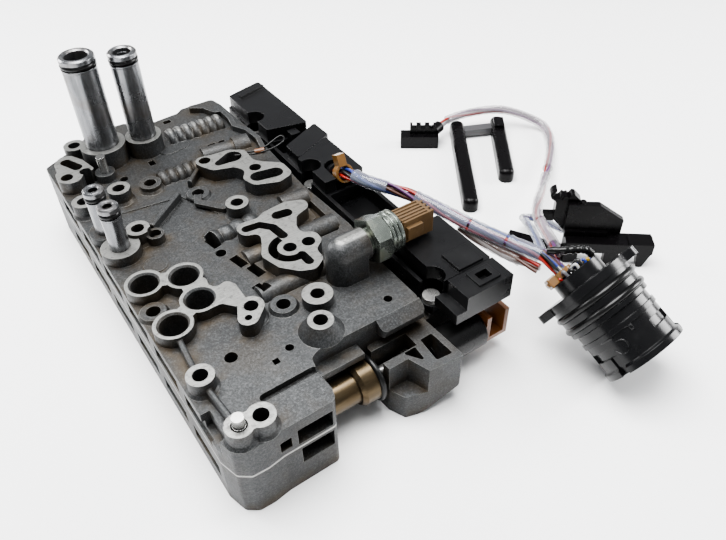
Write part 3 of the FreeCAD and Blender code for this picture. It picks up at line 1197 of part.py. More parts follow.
def middle_cover():
    """The cover with the notch where the harness comes out at its front edge."""
    x, y = TRUNK_ROUTE[0][:2]
    rear = (x, y + EXIT_SLOT_BACK)
    front = (TRUNK_ROUTE[1][0], MIDDLE_COVER_Y0 - 1.0)
    slot = capsule(rear, EXIT_SLOT_R, front, EXIT_SLOT_R, RAIL_WALL_Z - 1, RAIL_TOP_Z + 1)
    return cover(MIDDLE_COVER, RAIL_SCREWS[1]).cut(slot)


def front_cover():
    """The cover at the front, with its raised pad."""
    x1 = RAIL_FRONT_X1 - 0.6
    y1 = FRONT_COVER_Y1 - 0.6
    outline = [(FRONT_COVER_X0, FRONT_BLOCK_Y1), (x1, FRONT_BLOCK_Y1), (x1, y1), (FRONT_COVER_X0, y1)]
    pad_x0, pad_x1, pad_y0, pad_y1, pad_rise = FRONT_PAD
    pad = box(pad_x0, pad_x1, pad_y0, pad_y1, RAIL_TOP_Z - 1.0, RAIL_TOP_Z + pad_rise)
    return cover(outline, RAIL_SCREWS[0]).fuse(pad).removeSplitter()


def cord_tube(points, radius, name):
    """A cord: straight runs joined by tangent arcs, as large as the runs allow."""
    at = [vec(*point) for point in points]
    edges = []
    start = at[0]
    radii = []
    for before, here, after in zip(at, at[1:], at[2:]):
        back = before - here
        ahead = after - here
        turn = math.pi - back.getAngle(ahead)
        setback = 0.45 * min(back.Length, ahead.Length)
        bend = setback / math.tan(turn / 2)
        radii.append(bend)
        back.normalize()
        ahead.normalize()
        inward = back + ahead
        inward.normalize()
        enter = here + back * setback
        leave = here + ahead * setback
        middle = here + inward * (bend / math.cos(turn / 2) - bend)
        edges.append(Part.LineSegment(start, enter).toShape())
        edges.append(Part.Arc(enter, middle, leave).toShape())
        start = leave
    edges.append(Part.LineSegment(start, at[-1]).toShape())
    path = Part.Wire(edges)
    length = path.Length
    section = Part.Wire(Part.makeCircle(radius, at[0], at[1] - at[0]))
    tube = path.makePipeShell([section], True, False)
    expected = math.pi * radius ** 2 * length
    print(
        name, "length", round(length, 1), "volume over section", round(tube.Volume / expected, 4),
        "radii in diameters", [round(r / (2 * radius), 1) for r in radii],
    )
    return tube


def cable_tie(route, run, inner, head_side):
    """A strap round a cord in the middle of one of its runs, with its square head on one side."""
    here = vec(*route[run])
    along = vec(*route[run + 1]) - here
    length, width, height = TIE_HEAD
    strap = Part.makeCylinder(inner + TIE_T, TIE_W, vec(0, 0, -TIE_W / 2))
    head = Part.makeBox(length, width, height, vec(inner, -width / 2, -height / 2))
    hole = Part.makeCylinder(inner, TIE_W + height, vec(0, 0, -(TIE_W + height) / 2))
    tie = strap.fuse(head).cut(hole).removeSplitter()
    rotation = FreeCAD.Rotation(vec(*head_side), vec(0, 0, 0), along, "ZXY")
    tie.Placement = FreeCAD.Placement(here + along * 0.5, rotation)
    return tie


def harness_gland():
    """The short sleeve on its post that the trunk loom comes out of, under the middle cover."""
    start = vec(*TRUNK_ROUTE[0])
    back = start - vec(*TRUNK_ROUTE[1])
    sleeve = Part.makeCylinder(TRUNK_R + GLAND_WALL, GLAND_L, start, back)
    back.normalize()
    foot = start + back * (GLAND_L / 2)
    return [sleeve, post(foot.x, foot.y, RAIL_Z0 + 1.0, foot.z, GLAND_POST_R)]


def connector_placement():
    """Where the round connector lies: its own Z axis dips, its ears are rolled about it, its rim is on the table."""
    dip = math.radians(CONNECTOR_DIP)
    height = CONNECTOR_L * math.sin(dip) + CONNECTOR_RIM_R * math.cos(dip)
    heading = FreeCAD.Rotation(vec(0, 0, 1), CONNECTOR_HEADING)
    lay = FreeCAD.Rotation(vec(0, 1, 0), 90 + CONNECTOR_DIP)
    roll = FreeCAD.Rotation(vec(0, 0, 1), 90 + CONNECTOR_ROLL)
    return FreeCAD.Placement(vec(*CONNECTOR_AT, height), heading.multiply(lay).multiply(roll))


def place_connector(shape):
    """Moves a shape built up the Z axis to the round connector."""
    shape.Placement = connector_placement()
    return shape


def trunk_end():
    """The trunk's last two points: behind the connector and on the floor of its collar, towards the lower ear."""
    floor_z = -FLANGE_T - COLLAR_FLOOR_T
    placement = connector_placement()
    points = [placement.multVec(vec(-TRUNK_END_SIDE, 0, z)) for z in (floor_z - TRUNK_END_L, floor_z)]
    return [tuple(point) for point in points]


def bayonet_slots():
    """The slots that a bayonet plug turns into: in from the rim, then round the barrel."""
    inner = CONNECTOR_R - BAYONET_SLOT_DEPTH
    outer = CONNECTOR_RIM_R + 1.0
    z1 = BAYONET_Z + BAYONET_SLOT_W
    section = Part.makePolygon([
        vec(inner, 0, BAYONET_Z), vec(outer, 0, BAYONET_Z), vec(outer, 0, z1), vec(inner, 0, z1), vec(inner, 0, BAYONET_Z)
    ])
    slots = []
    for k in range(BAYONET_SLOTS):
        sweep = Part.Face(section).revolve(vec(0, 0, 0), vec(0, 0, 1), BAYONET_SWEEP)
        entry = box(inner, outer, 0.0, BAYONET_SLOT_W, BAYONET_Z, CONNECTOR_L + 1)
        slot = sweep.fuse(entry)
        slot.rotate(vec(0, 0, 0), vec(0, 0, 1), 360.0 * k / BAYONET_SLOTS)
        slots.append(slot)
    return slots


def connector_housing():
    """The round bayonet connector: two-eared flange, shoulder with seal grooves, barrel, rim, socket and collar."""
    seal_r = CONNECTOR_SEAL_R
    shoulder = CONNECTOR_SHOULDER_R
    groove_r = shoulder - 2 * seal_r + CONNECTOR_SEAL_STAND
    profile = [(0.0, -FLANGE_T), (shoulder, -FLANGE_T)]
    for z in CONNECTOR_SEALS:
        profile += [(shoulder, z - seal_r), (groove_r, z - seal_r), (groove_r, z + seal_r), (shoulder, z + seal_r)]
    rim_z = CONNECTOR_L - CONNECTOR_RIM_L
    band_z0, band_z1 = CONNECTOR_BAND
    band_r = CONNECTOR_R + 0.8
    profile += [
        (shoulder, CONNECTOR_SHOULDER_L), (CONNECTOR_R, CONNECTOR_SHOULDER_L + 0.8),
        (CONNECTOR_R, band_z0), (band_r, band_z0), (band_r, band_z1), (CONNECTOR_R, band_z1),
        (CONNECTOR_R, rim_z), (CONNECTOR_RIM_R, rim_z + 1.0), (CONNECTOR_RIM_R, CONNECTOR_L),
        (CONNECTOR_SOCKET_R, CONNECTOR_L),
        (CONNECTOR_SOCKET_R, CONNECTOR_L - CONNECTOR_SOCKET_DEPTH), (0.0, CONNECTOR_L - CONNECTOR_SOCKET_DEPTH),
    ]
    flange = [post(0, 0, -FLANGE_T, 0.0, FLANGE_R)]
    ears = [(side * EAR_REACH, 0.0) for side in (-1, 1)]
    flange += [capsule(ear, EAR_R, (0.0, 0.0), FLANGE_R - 8.0, -FLANGE_T, 0.0) for ear in ears]
    back_z = -FLANGE_T - CONNECTOR_BACK_L
    collar = post(0, 0, back_z, -FLANGE_T, CONNECTOR_BACK_R)
    hollow = post(0, 0, back_z - 1, -FLANGE_T - COLLAR_FLOOR_T, CONNECTOR_BACK_R - CONNECTOR_BACK_WALL)
    ear_holes = [post(x, y, -FLANGE_T - 1, 1.0, EAR_HOLE_R) for x, y in ears]
    body = join([turned(profile), collar] + flange).cut([hollow] + ear_holes + bayonet_slots())
    return place_connector(body)


def connector_seals():
    """The two seal rings on the shoulder."""
    major = CONNECTOR_SHOULDER_R - CONNECTOR_SEAL_R + CONNECTOR_SEAL_STAND
    rings = [ring(major, CONNECTOR_SEAL_R - 0.01, z) for z in CONNECTOR_SEALS]
    return place_connector(Part.makeCompound(rings))


def connector_pins():
    """The contact pins that stand in the socket."""
    foot = CONNECTOR_L - CONNECTOR_SOCKET_DEPTH
    pins = [post(0, 0, foot, foot + PIN_L, PIN_R)]
    for radius, count in PIN_RINGS:
        for k in range(count):
            angle = 2 * math.pi * k / count
            pins.append(post(radius * math.cos(angle), radius * math.sin(angle), foot, foot + PIN_L, PIN_R))
    return place_connector(Part.makeCompound(pins))


def sensor_bar(ends):
    """A moulded sensor bar that lies on the table, with rounded ends and a rounded top."""
    start, end = ends
    length = math.dist(start, end)
    half = BAR_W / 2
    bar = prism([(0.0, -half), (length, -half), (length, half), (0.0, half)], BAR_END_R, 0.0, BAR_H)
    top = [edge for edge in bar.Edges if min(v.Z for v in edge.Vertexes) > BAR_H - 0.1]
    bar = bar.makeFillet(BAR_EDGE_R, top)
    bar.rotate(vec(0, 0, 0), vec(0, 0, 1), math.degrees(math.atan2(end[1] - start[1], end[0] - start[0])))
    bar.translate(vec(*start))
    return bar


def short_sensor_bar():
    """The short bar with the low cap near its rear end."""
    cap = strip(*BAR_CAP, BAR_CAP_W, BAR_H - 2.0, BAR_H + BAR_CAP_RISE)
    return join([sensor_bar(SHORT_BAR), cap])


def between(ends, share):
    """A point on a bar's line."""
    (x0, y0), (x1, y1) = ends
    return (x0 + (x1 - x0) * share, y0 + (y1 - y0) * share)


def sensor_bridge():
    """The grey bridge that joins the two bars near their rear ends."""
    p = between(LONG_BAR, 0.10)
    q = between(SHORT_BAR, 0.14)
    bridge = strip(p, q, BRIDGE_W, BRIDGE_Z0, BRIDGE_Z0 + BRIDGE_H)
    return bridge.cut([sensor_bar(LONG_BAR), sensor_bar(SHORT_BAR)])


def harness_plug():
    """The plug on the end of the sensor branch: a low block, a notched crest and the boot round the cord's end."""
    block = strip(*HARNESS_PLUG, HARNESS_PLUG_W, 0.0, HARNESS_PLUG_H)
    crest = strip(*PLUG_CREST, PLUG_CREST_W, HARNESS_PLUG_H - 1.0, PLUG_CREST_Z)
    notches = []
    for k in range(PLUG_CREST_NOTCHES):
        share = (k + 0.5) / PLUG_CREST_NOTCHES
        p = between(PLUG_CREST, share - 0.08)
        q = between(PLUG_CREST, share + 0.08)
        notches.append(strip(p, q, PLUG_CREST_W + 2.0, PLUG_CREST_Z - PLUG_CREST_NOTCH_DEPTH, PLUG_CREST_Z + 1.0))
    end = vec(*SENSOR_ROUTE[-1])
    boot = Part.makeCylinder(BRANCH_R + PLUG_BOOT_WALL, PLUG_BOOT_L, end, end - vec(*SENSOR_ROUTE[-2]))
    return join([block, crest.cut(notches), boot])


def upright_panel(outline, y0, y1):
    """A panel from its outline in X and Z, between two levels of Y."""
    wire = Part.makePolygon([vec(x, y0, z) for x, z in outline + outline[:1]])
    return Part.Face(wire).extrude(vec(0, y1 - y0, 0))


def place_selector(shape):
    """Moves a shape from the selector switch's own axes to where it lies."""
    shape.Placement = FreeCAD.Placement(vec(*SELECTOR_AT), FreeCAD.Rotation(vec(0, 0, 1), SELECTOR_TURN))
    return shape


def ring_clip():
    """The open ring clip and the hook plate beside it, on top of the selector switch's fin."""
    y0, y1 = SELECTOR_FIN_Y
    x, z = CLIP_AT
    along_y = vec(0, 1, 0)
    clip = Part.makeCylinder(CLIP_R, y1 - y0, vec(x, y0, z), along_y)
    bore = Part.makeCylinder(CLIP_BORE_R, y1 - y0 + 2, vec(x, y0 - 1, z), along_y)
    mouth = box(x + CLIP_MOUTH_X, x + CLIP_R + 1, y0 - 1, y1 + 1, z, z + CLIP_R + 1)
    hook = upright_panel(HOOK_OUTLINE, y0, y1)
    foot = box(x - 0.2, HOOK_OUTLINE[0][0] + 1.5, y0, y1, HOOK_OUTLINE[0][1], z - CLIP_BORE_R)
    return join([clip, hook, foot]).cut([bore, mouth])


def selector_switch():
    """The selector position switch: bar, arm, legs, housing with a sloping end, fin, clip and screw."""
    screw_x, screw_y, screw_r, screw_h = SELECTOR_SCREW
    top_z = SELECTOR_HOUSING[1][1]
    solids = [
        box(*SELECTOR_BAR),
        box(*SELECTOR_END_BLOCK),
        box(*SELECTOR_RISER),
        box(*SELECTOR_PLINTH),
        box(*SELECTOR_LUG),
        upright_panel(SELECTOR_HOUSING, *SELECTOR_HOUSING_Y),
        upright_panel(SELECTOR_FIN, *SELECTOR_FIN_Y),
        upright_panel(FRONT_LEG, 0.0, LEG_DEPTH),
        upright_panel(END_LEG, 0.0, LEG_DEPTH),
        post(screw_x, screw_y, top_z - 1.0, top_z + screw_h, screw_r),
        ring_clip(),
    ]
    placed = [place_selector(solid) for solid in solids]
    riser_z0 = SELECTOR_RISER[4]
    placed.append(strip(
        SELECTOR_ARM_START, SELECTOR_ARM_END, SELECTOR_ARM_W, riser_z0, riser_z0 + SELECTOR_ARM_T
    ))
    end_x, end_y = SELECTOR_ARM_END
    placed.append(post(end_x, end_y, 0.0, riser_z0 + 1.0, SELECTOR_ARM_W / 3))
    return join(placed)


os.makedirs("parts", exist_ok=True)

save("upper_valve_casing", upper_valve_casing())
save("lower_valve_casing", lower_valve_casing())
save("separator_plate", separator_plate())
save("end_bracket", end_bracket())

seals = []
for name, (x, y, radius, wall, top, collar_r, collar_z) in TUBES.items():
    save(name, feed_tube(x, y, radius, wall, top, collar_z))
    seals.append(tube_seal(x, y, radius, top))
save("feed_tube_seals", Part.makeCompound(seals))

save("front_dowel_pin", front_dowel_pin())
save("rear_dowel_pin", post(*REAR_DOWEL, REAR_DOWEL_FOOT_Z, REAR_DOWEL_TOP_Z, DOWEL_R))
save("casing_screws", casing_screws())
save("check_balls", check_balls())

for number, y in enumerate(SOLENOID_Y, start=1):
    save(f"solenoid_{number}", solenoid(y))
save("solenoid_caps", Part.makeCompound([solenoid_cap(y) for y in SOLENOID_Y]))
save("solenoid_seals", solenoid_seals())
for number, station in enumerate(SPOOL_STATIONS, start=1):
    save(f"spool_valve_{number}", spool_valve(SOLENOID_Y[station]))
    save(f"valve_spring_{number}", valve_spring(SOLENOID_Y[station]))

save("pilot_valve", pilot_valve())
save("pilot_seal", pilot_seal())
save("pilot_stem", pilot_stem())
save("pilot_spring", pilot_spring())

save("pressure_sensor", pressure_sensor())
save("pressure_sensor_seal", sensor_seal())
save("pressure_sensor_plug", sensor_plug())

save("contact_rail", contact_rail())
save("rail_screws", rail_screws())
save("rear_cover", rear_cover())
save("middle_cover", middle_cover())
save("front_cover", front_cover())

trunk_route = TRUNK_ROUTE + trunk_end()
save("trunk_loom", cord_tube(trunk_route, TRUNK_R, "trunk"))
save("lower_loom", cord_tube(LOOM_ROUTE, LOOM_R, "lower loom"))
save("sensor_branch", cord_tube(SENSOR_ROUTE, BRANCH_R, "sensor branch"))
save("selector_branch", cord_tube(SELECTOR_ROUTE, SELECTOR_CORD_R, "selector branch"))
save("rail_tie", cable_tie(trunk_route, RAIL_TIE_RUN, TRUNK_R + TIE_GAP, (0, 0, 1)))
save("junction_tie", cable_tie(trunk_route, JUNCTION_TIE_RUN, TRUNK_R + TIE_GAP, (-1, 0, -0.4)))
save("connector_housing", connector_housing())
save("connector_seals", connector_seals())
save("connector_pins", connector_pins())
save("long_sensor_bar", sensor_bar(LONG_BAR))
save("short_sensor_bar", short_sensor_bar())
save("sensor_bridge", sensor_bridge())
save("harness_plug", harness_plug())
save("selector_switch", selector_switch())
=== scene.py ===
# %% [markdown]
# # A transmission valve body and its wiring harness
# The part is two flat aluminium castings with solenoids under a black contact rail, feed tubes, a pressure
# sensor and a loom that ends in a round connector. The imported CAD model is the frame: it gives every place
# and size in metres. Blender adds the finishes, the wires, and the small forms that give each piece its
# look.

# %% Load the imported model
import json
import math

import bmesh
import bpy
from mathutils import Matrix, Vector


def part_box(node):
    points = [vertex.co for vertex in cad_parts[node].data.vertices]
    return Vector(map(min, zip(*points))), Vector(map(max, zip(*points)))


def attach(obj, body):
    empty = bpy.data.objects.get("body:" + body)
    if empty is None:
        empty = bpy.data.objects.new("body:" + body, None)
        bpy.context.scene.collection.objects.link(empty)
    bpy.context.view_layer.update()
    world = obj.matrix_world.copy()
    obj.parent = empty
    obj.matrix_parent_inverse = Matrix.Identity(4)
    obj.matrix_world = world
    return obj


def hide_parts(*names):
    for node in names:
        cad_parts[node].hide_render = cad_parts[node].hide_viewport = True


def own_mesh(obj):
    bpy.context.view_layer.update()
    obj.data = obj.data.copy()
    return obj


MM = 0.001

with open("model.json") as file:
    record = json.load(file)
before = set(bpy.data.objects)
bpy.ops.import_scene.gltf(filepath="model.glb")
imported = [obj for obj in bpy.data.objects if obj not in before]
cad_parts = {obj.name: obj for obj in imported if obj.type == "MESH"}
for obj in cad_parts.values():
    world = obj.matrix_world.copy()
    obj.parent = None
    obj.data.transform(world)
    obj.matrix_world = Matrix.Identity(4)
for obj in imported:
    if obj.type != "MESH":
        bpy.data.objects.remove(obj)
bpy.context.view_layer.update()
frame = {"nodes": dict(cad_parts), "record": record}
nodes = frame["nodes"]


# %% [markdown]
# ## Camera
# The camera was fitted to the photograph from the castings' straight edges, so it looks down at the front
# corner from close by. Its angles could be typed in as a rotation, but three directions put into a matrix
# keep the fitted heading, pitch and roll readable. The focal length was found in pixels, and the sensor's
# width makes millimetres of it.

# %% Camera
FOCAL_PX = 708.16
PICTURE_W = 726
SENSOR_W = 36.0
NEAREST_SEEN = 10 * MM
CAMERA_AT = Vector((-47.2, -162.1, 279.02)) * MM
HEADING = math.radians(56.773)
PITCH = math.radians(42.500)
ROLL = math.radians(1.600)


def new_object(name, data):
    """Links a new object with this data at the origin."""
    made = bpy.data.objects.new(name, data)
    bpy.context.scene.collection.objects.link(made)
    return made


flat_reach = math.cos(PITCH)
forward = Vector((math.cos(HEADING) * flat_reach, math.sin(HEADING) * flat_reach, -math.sin(PITCH)))
level_right = Vector((math.sin(HEADING), -math.cos(HEADING), 0.0))
level_down = forward.cross(level_right)
right = math.cos(ROLL) * level_right + math.sin(ROLL) * level_down
down = math.cos(ROLL) * level_down - math.sin(ROLL) * level_right

camera_data = bpy.data.cameras.new("camera")
camera_data.sensor_width = SENSOR_W
camera_data.lens = FOCAL_PX * SENSOR_W / PICTURE_W
camera_data.clip_start = NEAREST_SEEN
camera = new_object("camera", camera_data)
turn = Matrix((right, -down, -forward)).transposed().to_4x4()
camera.matrix_world = Matrix.Translation(CAMERA_AT) @ turn
bpy.context.scene.camera = camera
print("lens", round(camera_data.lens, 2), "mm, camera at", [round(c, 3) for c in CAMERA_AT])


# %% [markdown]
# ## Light and floor
# The photograph was taken in soft light on a white ground. Its left wall is darker, so the light comes from
# above and from the right rear. One large area light gives the tops their sheen. Two smaller ones stand out
# of the mirror direction of the glossy black rail, because there they would turn it grey. A low world light
# keeps the shadows open, and a view look with more contrast gives the blacks their depth.

# %% Lights
LIT_POINT = Vector((0.08, 0.12, 0.03))
LIGHTS = [
    ("ceiling", (0.02, 0.20, 0.95), 0.8, 31.0),
    ("right_window", (0.98, -0.22, 0.40), 0.42, 10.0),
    ("left_rear_window", (-0.45, 0.95, 0.45), 0.40, 9.0),
]


def area_light(name, at, size, power):
    """A square soft light that points at the middle of the part."""
    data = bpy.data.lights.new(name, "AREA")
    data.size = size
    data.energy = power
    light = new_object(name, data)
    light.location = at
    light.rotation_mode = "QUATERNION"
    light.rotation_quaternion = (LIT_POINT - Vector(at)).to_track_quat("-Z", "Y")


for name, at, size, power in LIGHTS:
    area_light(name, at, size, power)
print(len(LIGHTS), "lights")

# %% World and view
WORLD_TINT = (0.95, 0.97, 1.0, 1.0)
WORLD_STRENGTH = 0.45

world = bpy.data.worlds.new("studio")
bpy.context.scene.world = world
world.use_nodes = True
background = world.node_tree.nodes["Background"]
background.inputs["Color"].default_value = WORLD_TINT
background.inputs["Strength"].default_value = WORLD_STRENGTH
bpy.context.scene.view_settings.look = "AgX - Medium High Contrast"
print("world light", WORLD_STRENGTH)

# %% Floor
FLOOR_HALF = 6.0
FLOOR_GAP = 0.2 * MM

floor_shape = bmesh.new()
bmesh.ops.create_grid(floor_shape, x_segments=1, y_segments=1, size=FLOOR_HALF)
floor_mesh = bpy.data.meshes.new("floor")
floor_shape.to_mesh(floor_mesh)
floor_shape.free()
floor = new_object("floor", floor_mesh)
floor.location.z = -FLOOR_GAP
print("floor, half of its width", FLOOR_HALF, "m")


# %% [markdown]
# ## Finishes
# Every finish is a Principled shader whose colour and roughness are broken up by noise on Object
# coordinates, so the pattern keeps its scale in metres and stays on the piece. A picture could be wrapped
# round each piece instead, but a pattern of nodes needs no unwrapping. The first class gives short names to
# the nodes that work out a value.

# %% Values from nodes
class NodeValues:
    """A material under construction, with short names for the nodes that work out a value."""

    def __init__(self, name, colour, metallic, roughness):
        self.material = bpy.data.materials.new(name)
        self.material.use_nodes = True
        self.tree = self.material.node_tree
        self.shader = self.tree.nodes["Principled BSDF"]
        self.shader.inputs["Base Color"].default_value = (*colour, 1.0)
        self.shader.inputs["Metallic"].default_value = metallic
        self.shader.inputs["Roughness"].default_value = roughness
        self.place = self.node("ShaderNodeTexCoord").outputs["Object"]

    def node(self, kind, **settings):
        """A new node with these settings."""
        made = self.tree.nodes.new(kind)
        for key, value in settings.items():
            setattr(made, key, value)
        return made

    def link(self, source, target):
        """Joins an output to an input."""
        self.tree.links.new(source, target)

    def noise(self, scale, detail=3.0, rough=0.5, stretch=None):
        """Noise on the piece, from 0 to 1. The scale is in cells per metre."""
        made = self.node("ShaderNodeTexNoise")
        made.inputs["Scale"].default_value = scale
        made.inputs["Detail"].default_value = detail
        made.inputs["Roughness"].default_value = rough
        source = self.place
        if stretch:
            mapping = self.node("ShaderNodeMapping")
            mapping.inputs["Scale"].default_value = stretch
            self.link(source, mapping.inputs["Vector"])
            source = mapping.outputs["Vector"]
        self.link(source, made.inputs["Vector"])
        return made.outputs["Fac"]

    def ramp(self, value, low, high, out_low=0.0, out_high=1.0):
        """A value mapped from one range to another, clamped."""
        made = self.node("ShaderNodeMapRange")
        self.link(value, made.inputs["Value"])
        limits = (("From Min", low), ("From Max", high), ("To Min", out_low), ("To Max", out_high))
        for key, number in limits:
            made.inputs[key].default_value = number
        return made.outputs["Result"]

    def math(self, operation, a, b):
        """Arithmetic on two sockets or numbers."""
        made = self.node("ShaderNodeMath", operation=operation)
        for slot, value in enumerate((a, b)):
            if isinstance(value, (int, float)):
                made.inputs[slot].default_value = value
            else:
                self.link(value, made.inputs[slot])
        return made.outputs["Value"]

    def times(self, a, b):
        """The product of two sockets or numbers."""
        return self.math("MULTIPLY", a, b)

    def mix(self, share, a, b):
        """Two colours mixed by a share. Each is a socket or three numbers."""
        made = self.node("ShaderNodeMix", data_type="RGBA")
        self.link(share, made.inputs["Factor"])
        for key, value in (("A", a), ("B", b)):
            socket = [s for s in made.inputs if s.name == key and s.type == "RGBA"][0]
            if isinstance(value, tuple):
                socket.default_value = (*value, 1.0)
            else:
                self.link(value, socket)
        return [s for s in made.outputs if s.type == "RGBA"][0]


print("short names for value nodes are ready")

# %% [markdown]
# A finish also needs to know its piece's shape: where the edges are, which handling rubs bright and which
# get a painted highlight, and where the corners are, which get painted shade. Both could be painted by hand.
# A Bevel node and an Ambient Occlusion node read them from the mesh, so they stay right when the CAD
# changes.

# %% Surface effects from nodes
class Finish(NodeValues):
    """A finish for a surface: its grain, masks for its edges and its corners, and the shader's main inputs.
    """

    def bump(self, height, strength, distance, bevel=0.0):
        """Grain from a height, over edges that are softened by a bevel radius."""
        made = self.node("ShaderNodeBump")
        made.inputs["Strength"].default_value = strength
        made.inputs["Distance"].default_value = distance
        self.link(height, made.inputs["Height"])
        if bevel:
            soft = self.node("ShaderNodeBevel", samples=4)
            soft.inputs["Radius"].default_value = bevel
            self.link(soft.outputs["Normal"], made.inputs["Normal"])
        self.link(made.outputs["Normal"], self.shader.inputs["Normal"])

    def edges(self, radius, low=0.02, high=0.16):
        """1 along edges, out and in alike, where a bevel would turn the surface, and 0 on open faces."""
        soft = self.node("ShaderNodeBevel", samples=4)
        soft.inputs["Radius"].default_value = radius
        plain = self.node("ShaderNodeNewGeometry")
        turned = self.node("ShaderNodeVectorMath", operation="DOT_PRODUCT")
        self.link(soft.outputs["Normal"], turned.inputs[0])
        self.link(plain.outputs["Normal"], turned.inputs[1])
        return self.ramp(self.math("SUBTRACT", 1.0, turned.outputs["Value"]), low, high)

    def openness(self, reach):
        """1 on open faces, falling to 0 deep in corners that are nearer to other faces than a reach."""
        made = self.node("ShaderNodeAmbientOcclusion", samples=4)
        made.inputs["Distance"].default_value = reach
        return made.outputs["AO"]

    def colour(self, socket):
        """Gives the shader its colour."""
        self.link(socket, self.shader.inputs["Base Color"])

    def roughness(self, socket):
        """Gives the shader its roughness."""
        self.link(socket, self.shader.inputs["Roughness"])


def shade(colour, factor, lift=0.0):
    """A colour made darker or brighter."""
    return tuple(min(1.0, factor * c + lift) for c in colour)


print("surface effects are ready")

# %% Floor finish
FLOOR_WHITE = (0.86, 0.86, 0.86)

floor_finish = Finish("floor_paint", FLOOR_WHITE, 0.0, 0.7)
floor_finish.bump(floor_finish.noise(90.0), 0.03, 1.0 * MM)
floor.data.materials.append(floor_finish.material)
print("floor finish made")


# %% [markdown]
# ## Cast and machined aluminium
# The castings are grey and slightly grainy, brown where oil has dried, and bright where a cutter faced the
# bosses and islands. Each face could get a material of its own, but the cutter's faces have something in
# common: they look straight up, and lie at or above the platforms' level. So one material finds them from
# the normal and the height, and mixes the cast skin with the milled face.

# %% Cast skin and milled face
MACHINED_Z = 49.6 * MM
DRIED_OIL = (0.052, 0.036, 0.018)


def machined_share(made):
    """1 on level faces at or above the height where the cutter worked, and 0 elsewhere."""
    geometry = made.node("ShaderNodeNewGeometry")
    normal = made.node("ShaderNodeSeparateXYZ")
    made.link(geometry.outputs["Normal"], normal.inputs["Vector"])
    place = made.node("ShaderNodeSeparateXYZ")
    made.link(made.place, place.inputs["Vector"])
    level = made.ramp(normal.outputs["Z"], 0.90, 0.97)
    high = made.ramp(place.outputs["Z"], MACHINED_Z - 0.2 * MM, MACHINED_Z)
    return made.times(level, high)


def cast_skin(made, grey, cloud, sand, open_share):
    """Cast grey with light and dark sand grains, browned by dried oil, most of all near corners."""
    body = made.mix(made.ramp(cloud, 0.35, 0.7), grey, shade(grey, 0.62))
    body = made.mix(made.ramp(sand, 0.50, 0.66, 0.0, 0.55), body, shade(grey, 2.3))
    body = made.mix(made.ramp(sand, 0.50, 0.34, 0.0, 0.55), body, shade(grey, 0.30))
    spots = made.ramp(made.noise(34.0, 4.0, 0.7), 0.44, 0.62)
    oil = made.times(spots, made.ramp(open_share, 1.0, 0.70, 0.25))
    return made.mix(made.times(oil, 0.75), body, DRIED_OIL)


def milled_face(made, bright, pits):
    """Bright metal with the cutter's streaks and dark pores."""
    streaks = made.noise(160.0, 2.0, 0.5, (1.0, 14.0, 1.0))
    face = made.mix(made.ramp(streaks, 0.35, 0.65), bright, shade(bright, 0.78))
    return made.mix(made.ramp(pits, 0.54, 0.66, 0.0, 0.75), face, shade(bright, 0.38))


print("machined at and above", round(MACHINED_Z / MM, 1), "mm")

# %% Cast aluminium
CAST_GREY = (0.042, 0.0435, 0.0445)
MILLED_GREY = (0.225, 0.225, 0.215)
# The near-black of the painted shade in the corners.
CORNER_SHADE = (0.010, 0.009, 0.007)


def casting_finish(name, grey, bright):
    """Cast aluminium: machined level faces, painted shade in corners, worn edges with a painted highlight.
    """
    made = Finish(name, grey, 0.55, 0.5)
    machined = machined_share(made)
    open_share = made.openness(7 * MM)
    cloud = made.noise(26.0, 5.0, 0.65)
    sand = made.noise(1100.0, 3.0, 0.75)
    pits = made.noise(420.0, 4.0, 0.7)
    skin = cast_skin(made, grey, cloud, sand, open_share)
    whole = made.mix(machined, skin, milled_face(made, bright, pits))
    # Painted shade: corners are darkened towards near-black by the Ambient Occlusion mask.
    painted_shade = made.times(made.ramp(open_share, 0.58, 0.16), made.ramp(pits, 0.30, 0.60, 0.65, 1.0))
    whole = made.mix(made.times(painted_shade, 0.85), whole, CORNER_SHADE)
    # Edges rubbed bright, with a painted highlight: open edges take the milled colour.
    wear_and_highlight = made.times(made.edges(0.5 * MM), made.ramp(open_share, 0.55, 0.80))
    wear_and_highlight = made.times(wear_and_highlight, made.ramp(made.noise(90.0, 4.0, 0.7), 0.38, 0.62, 0.30, 1.0))
    made.colour(made.mix(wear_and_highlight, whole, bright))
    rough = made.ramp(cloud, 0.3, 0.7, 0.40, 0.56)
    made.roughness(made.math("SUBTRACT", rough, made.times(machined, 0.12)))
    relief = made.math("ADD", made.times(sand, 0.55), made.noise(300.0, 3.0))
    made.bump(relief, 0.38, 0.5 * MM, 0.5 * MM)
    return made.material


casting = casting_finish("cast_aluminium", CAST_GREY, MILLED_GREY)
print(casting.name, "has", len(casting.node_tree.nodes), "nodes")


# %% [markdown]
# ## Turned tubes, steel, rubber and plastics
# Small helpers give the same grain to each family of finishes: metals with fine scratches along one
# direction and brown stains, rubber that is matt, and plastics with a slight sheen and rubbed spots. One
# helper for each family is easier to adjust than a dozen materials, and the pieces still look as if they
# came from one gearbox.

# %% Metals
TUBE_BROWN = (0.12, 0.075, 0.035)
# The near-black of the painted shade near other pieces.
METAL_SHADE = (0.015, 0.012, 0.008)
ALONG_X = (0.12, 1.0, 1.0)
ALONG_Z = (1.0, 1.0, 0.12)
NO_STREAKS = (1.0, 1.0, 1.0)


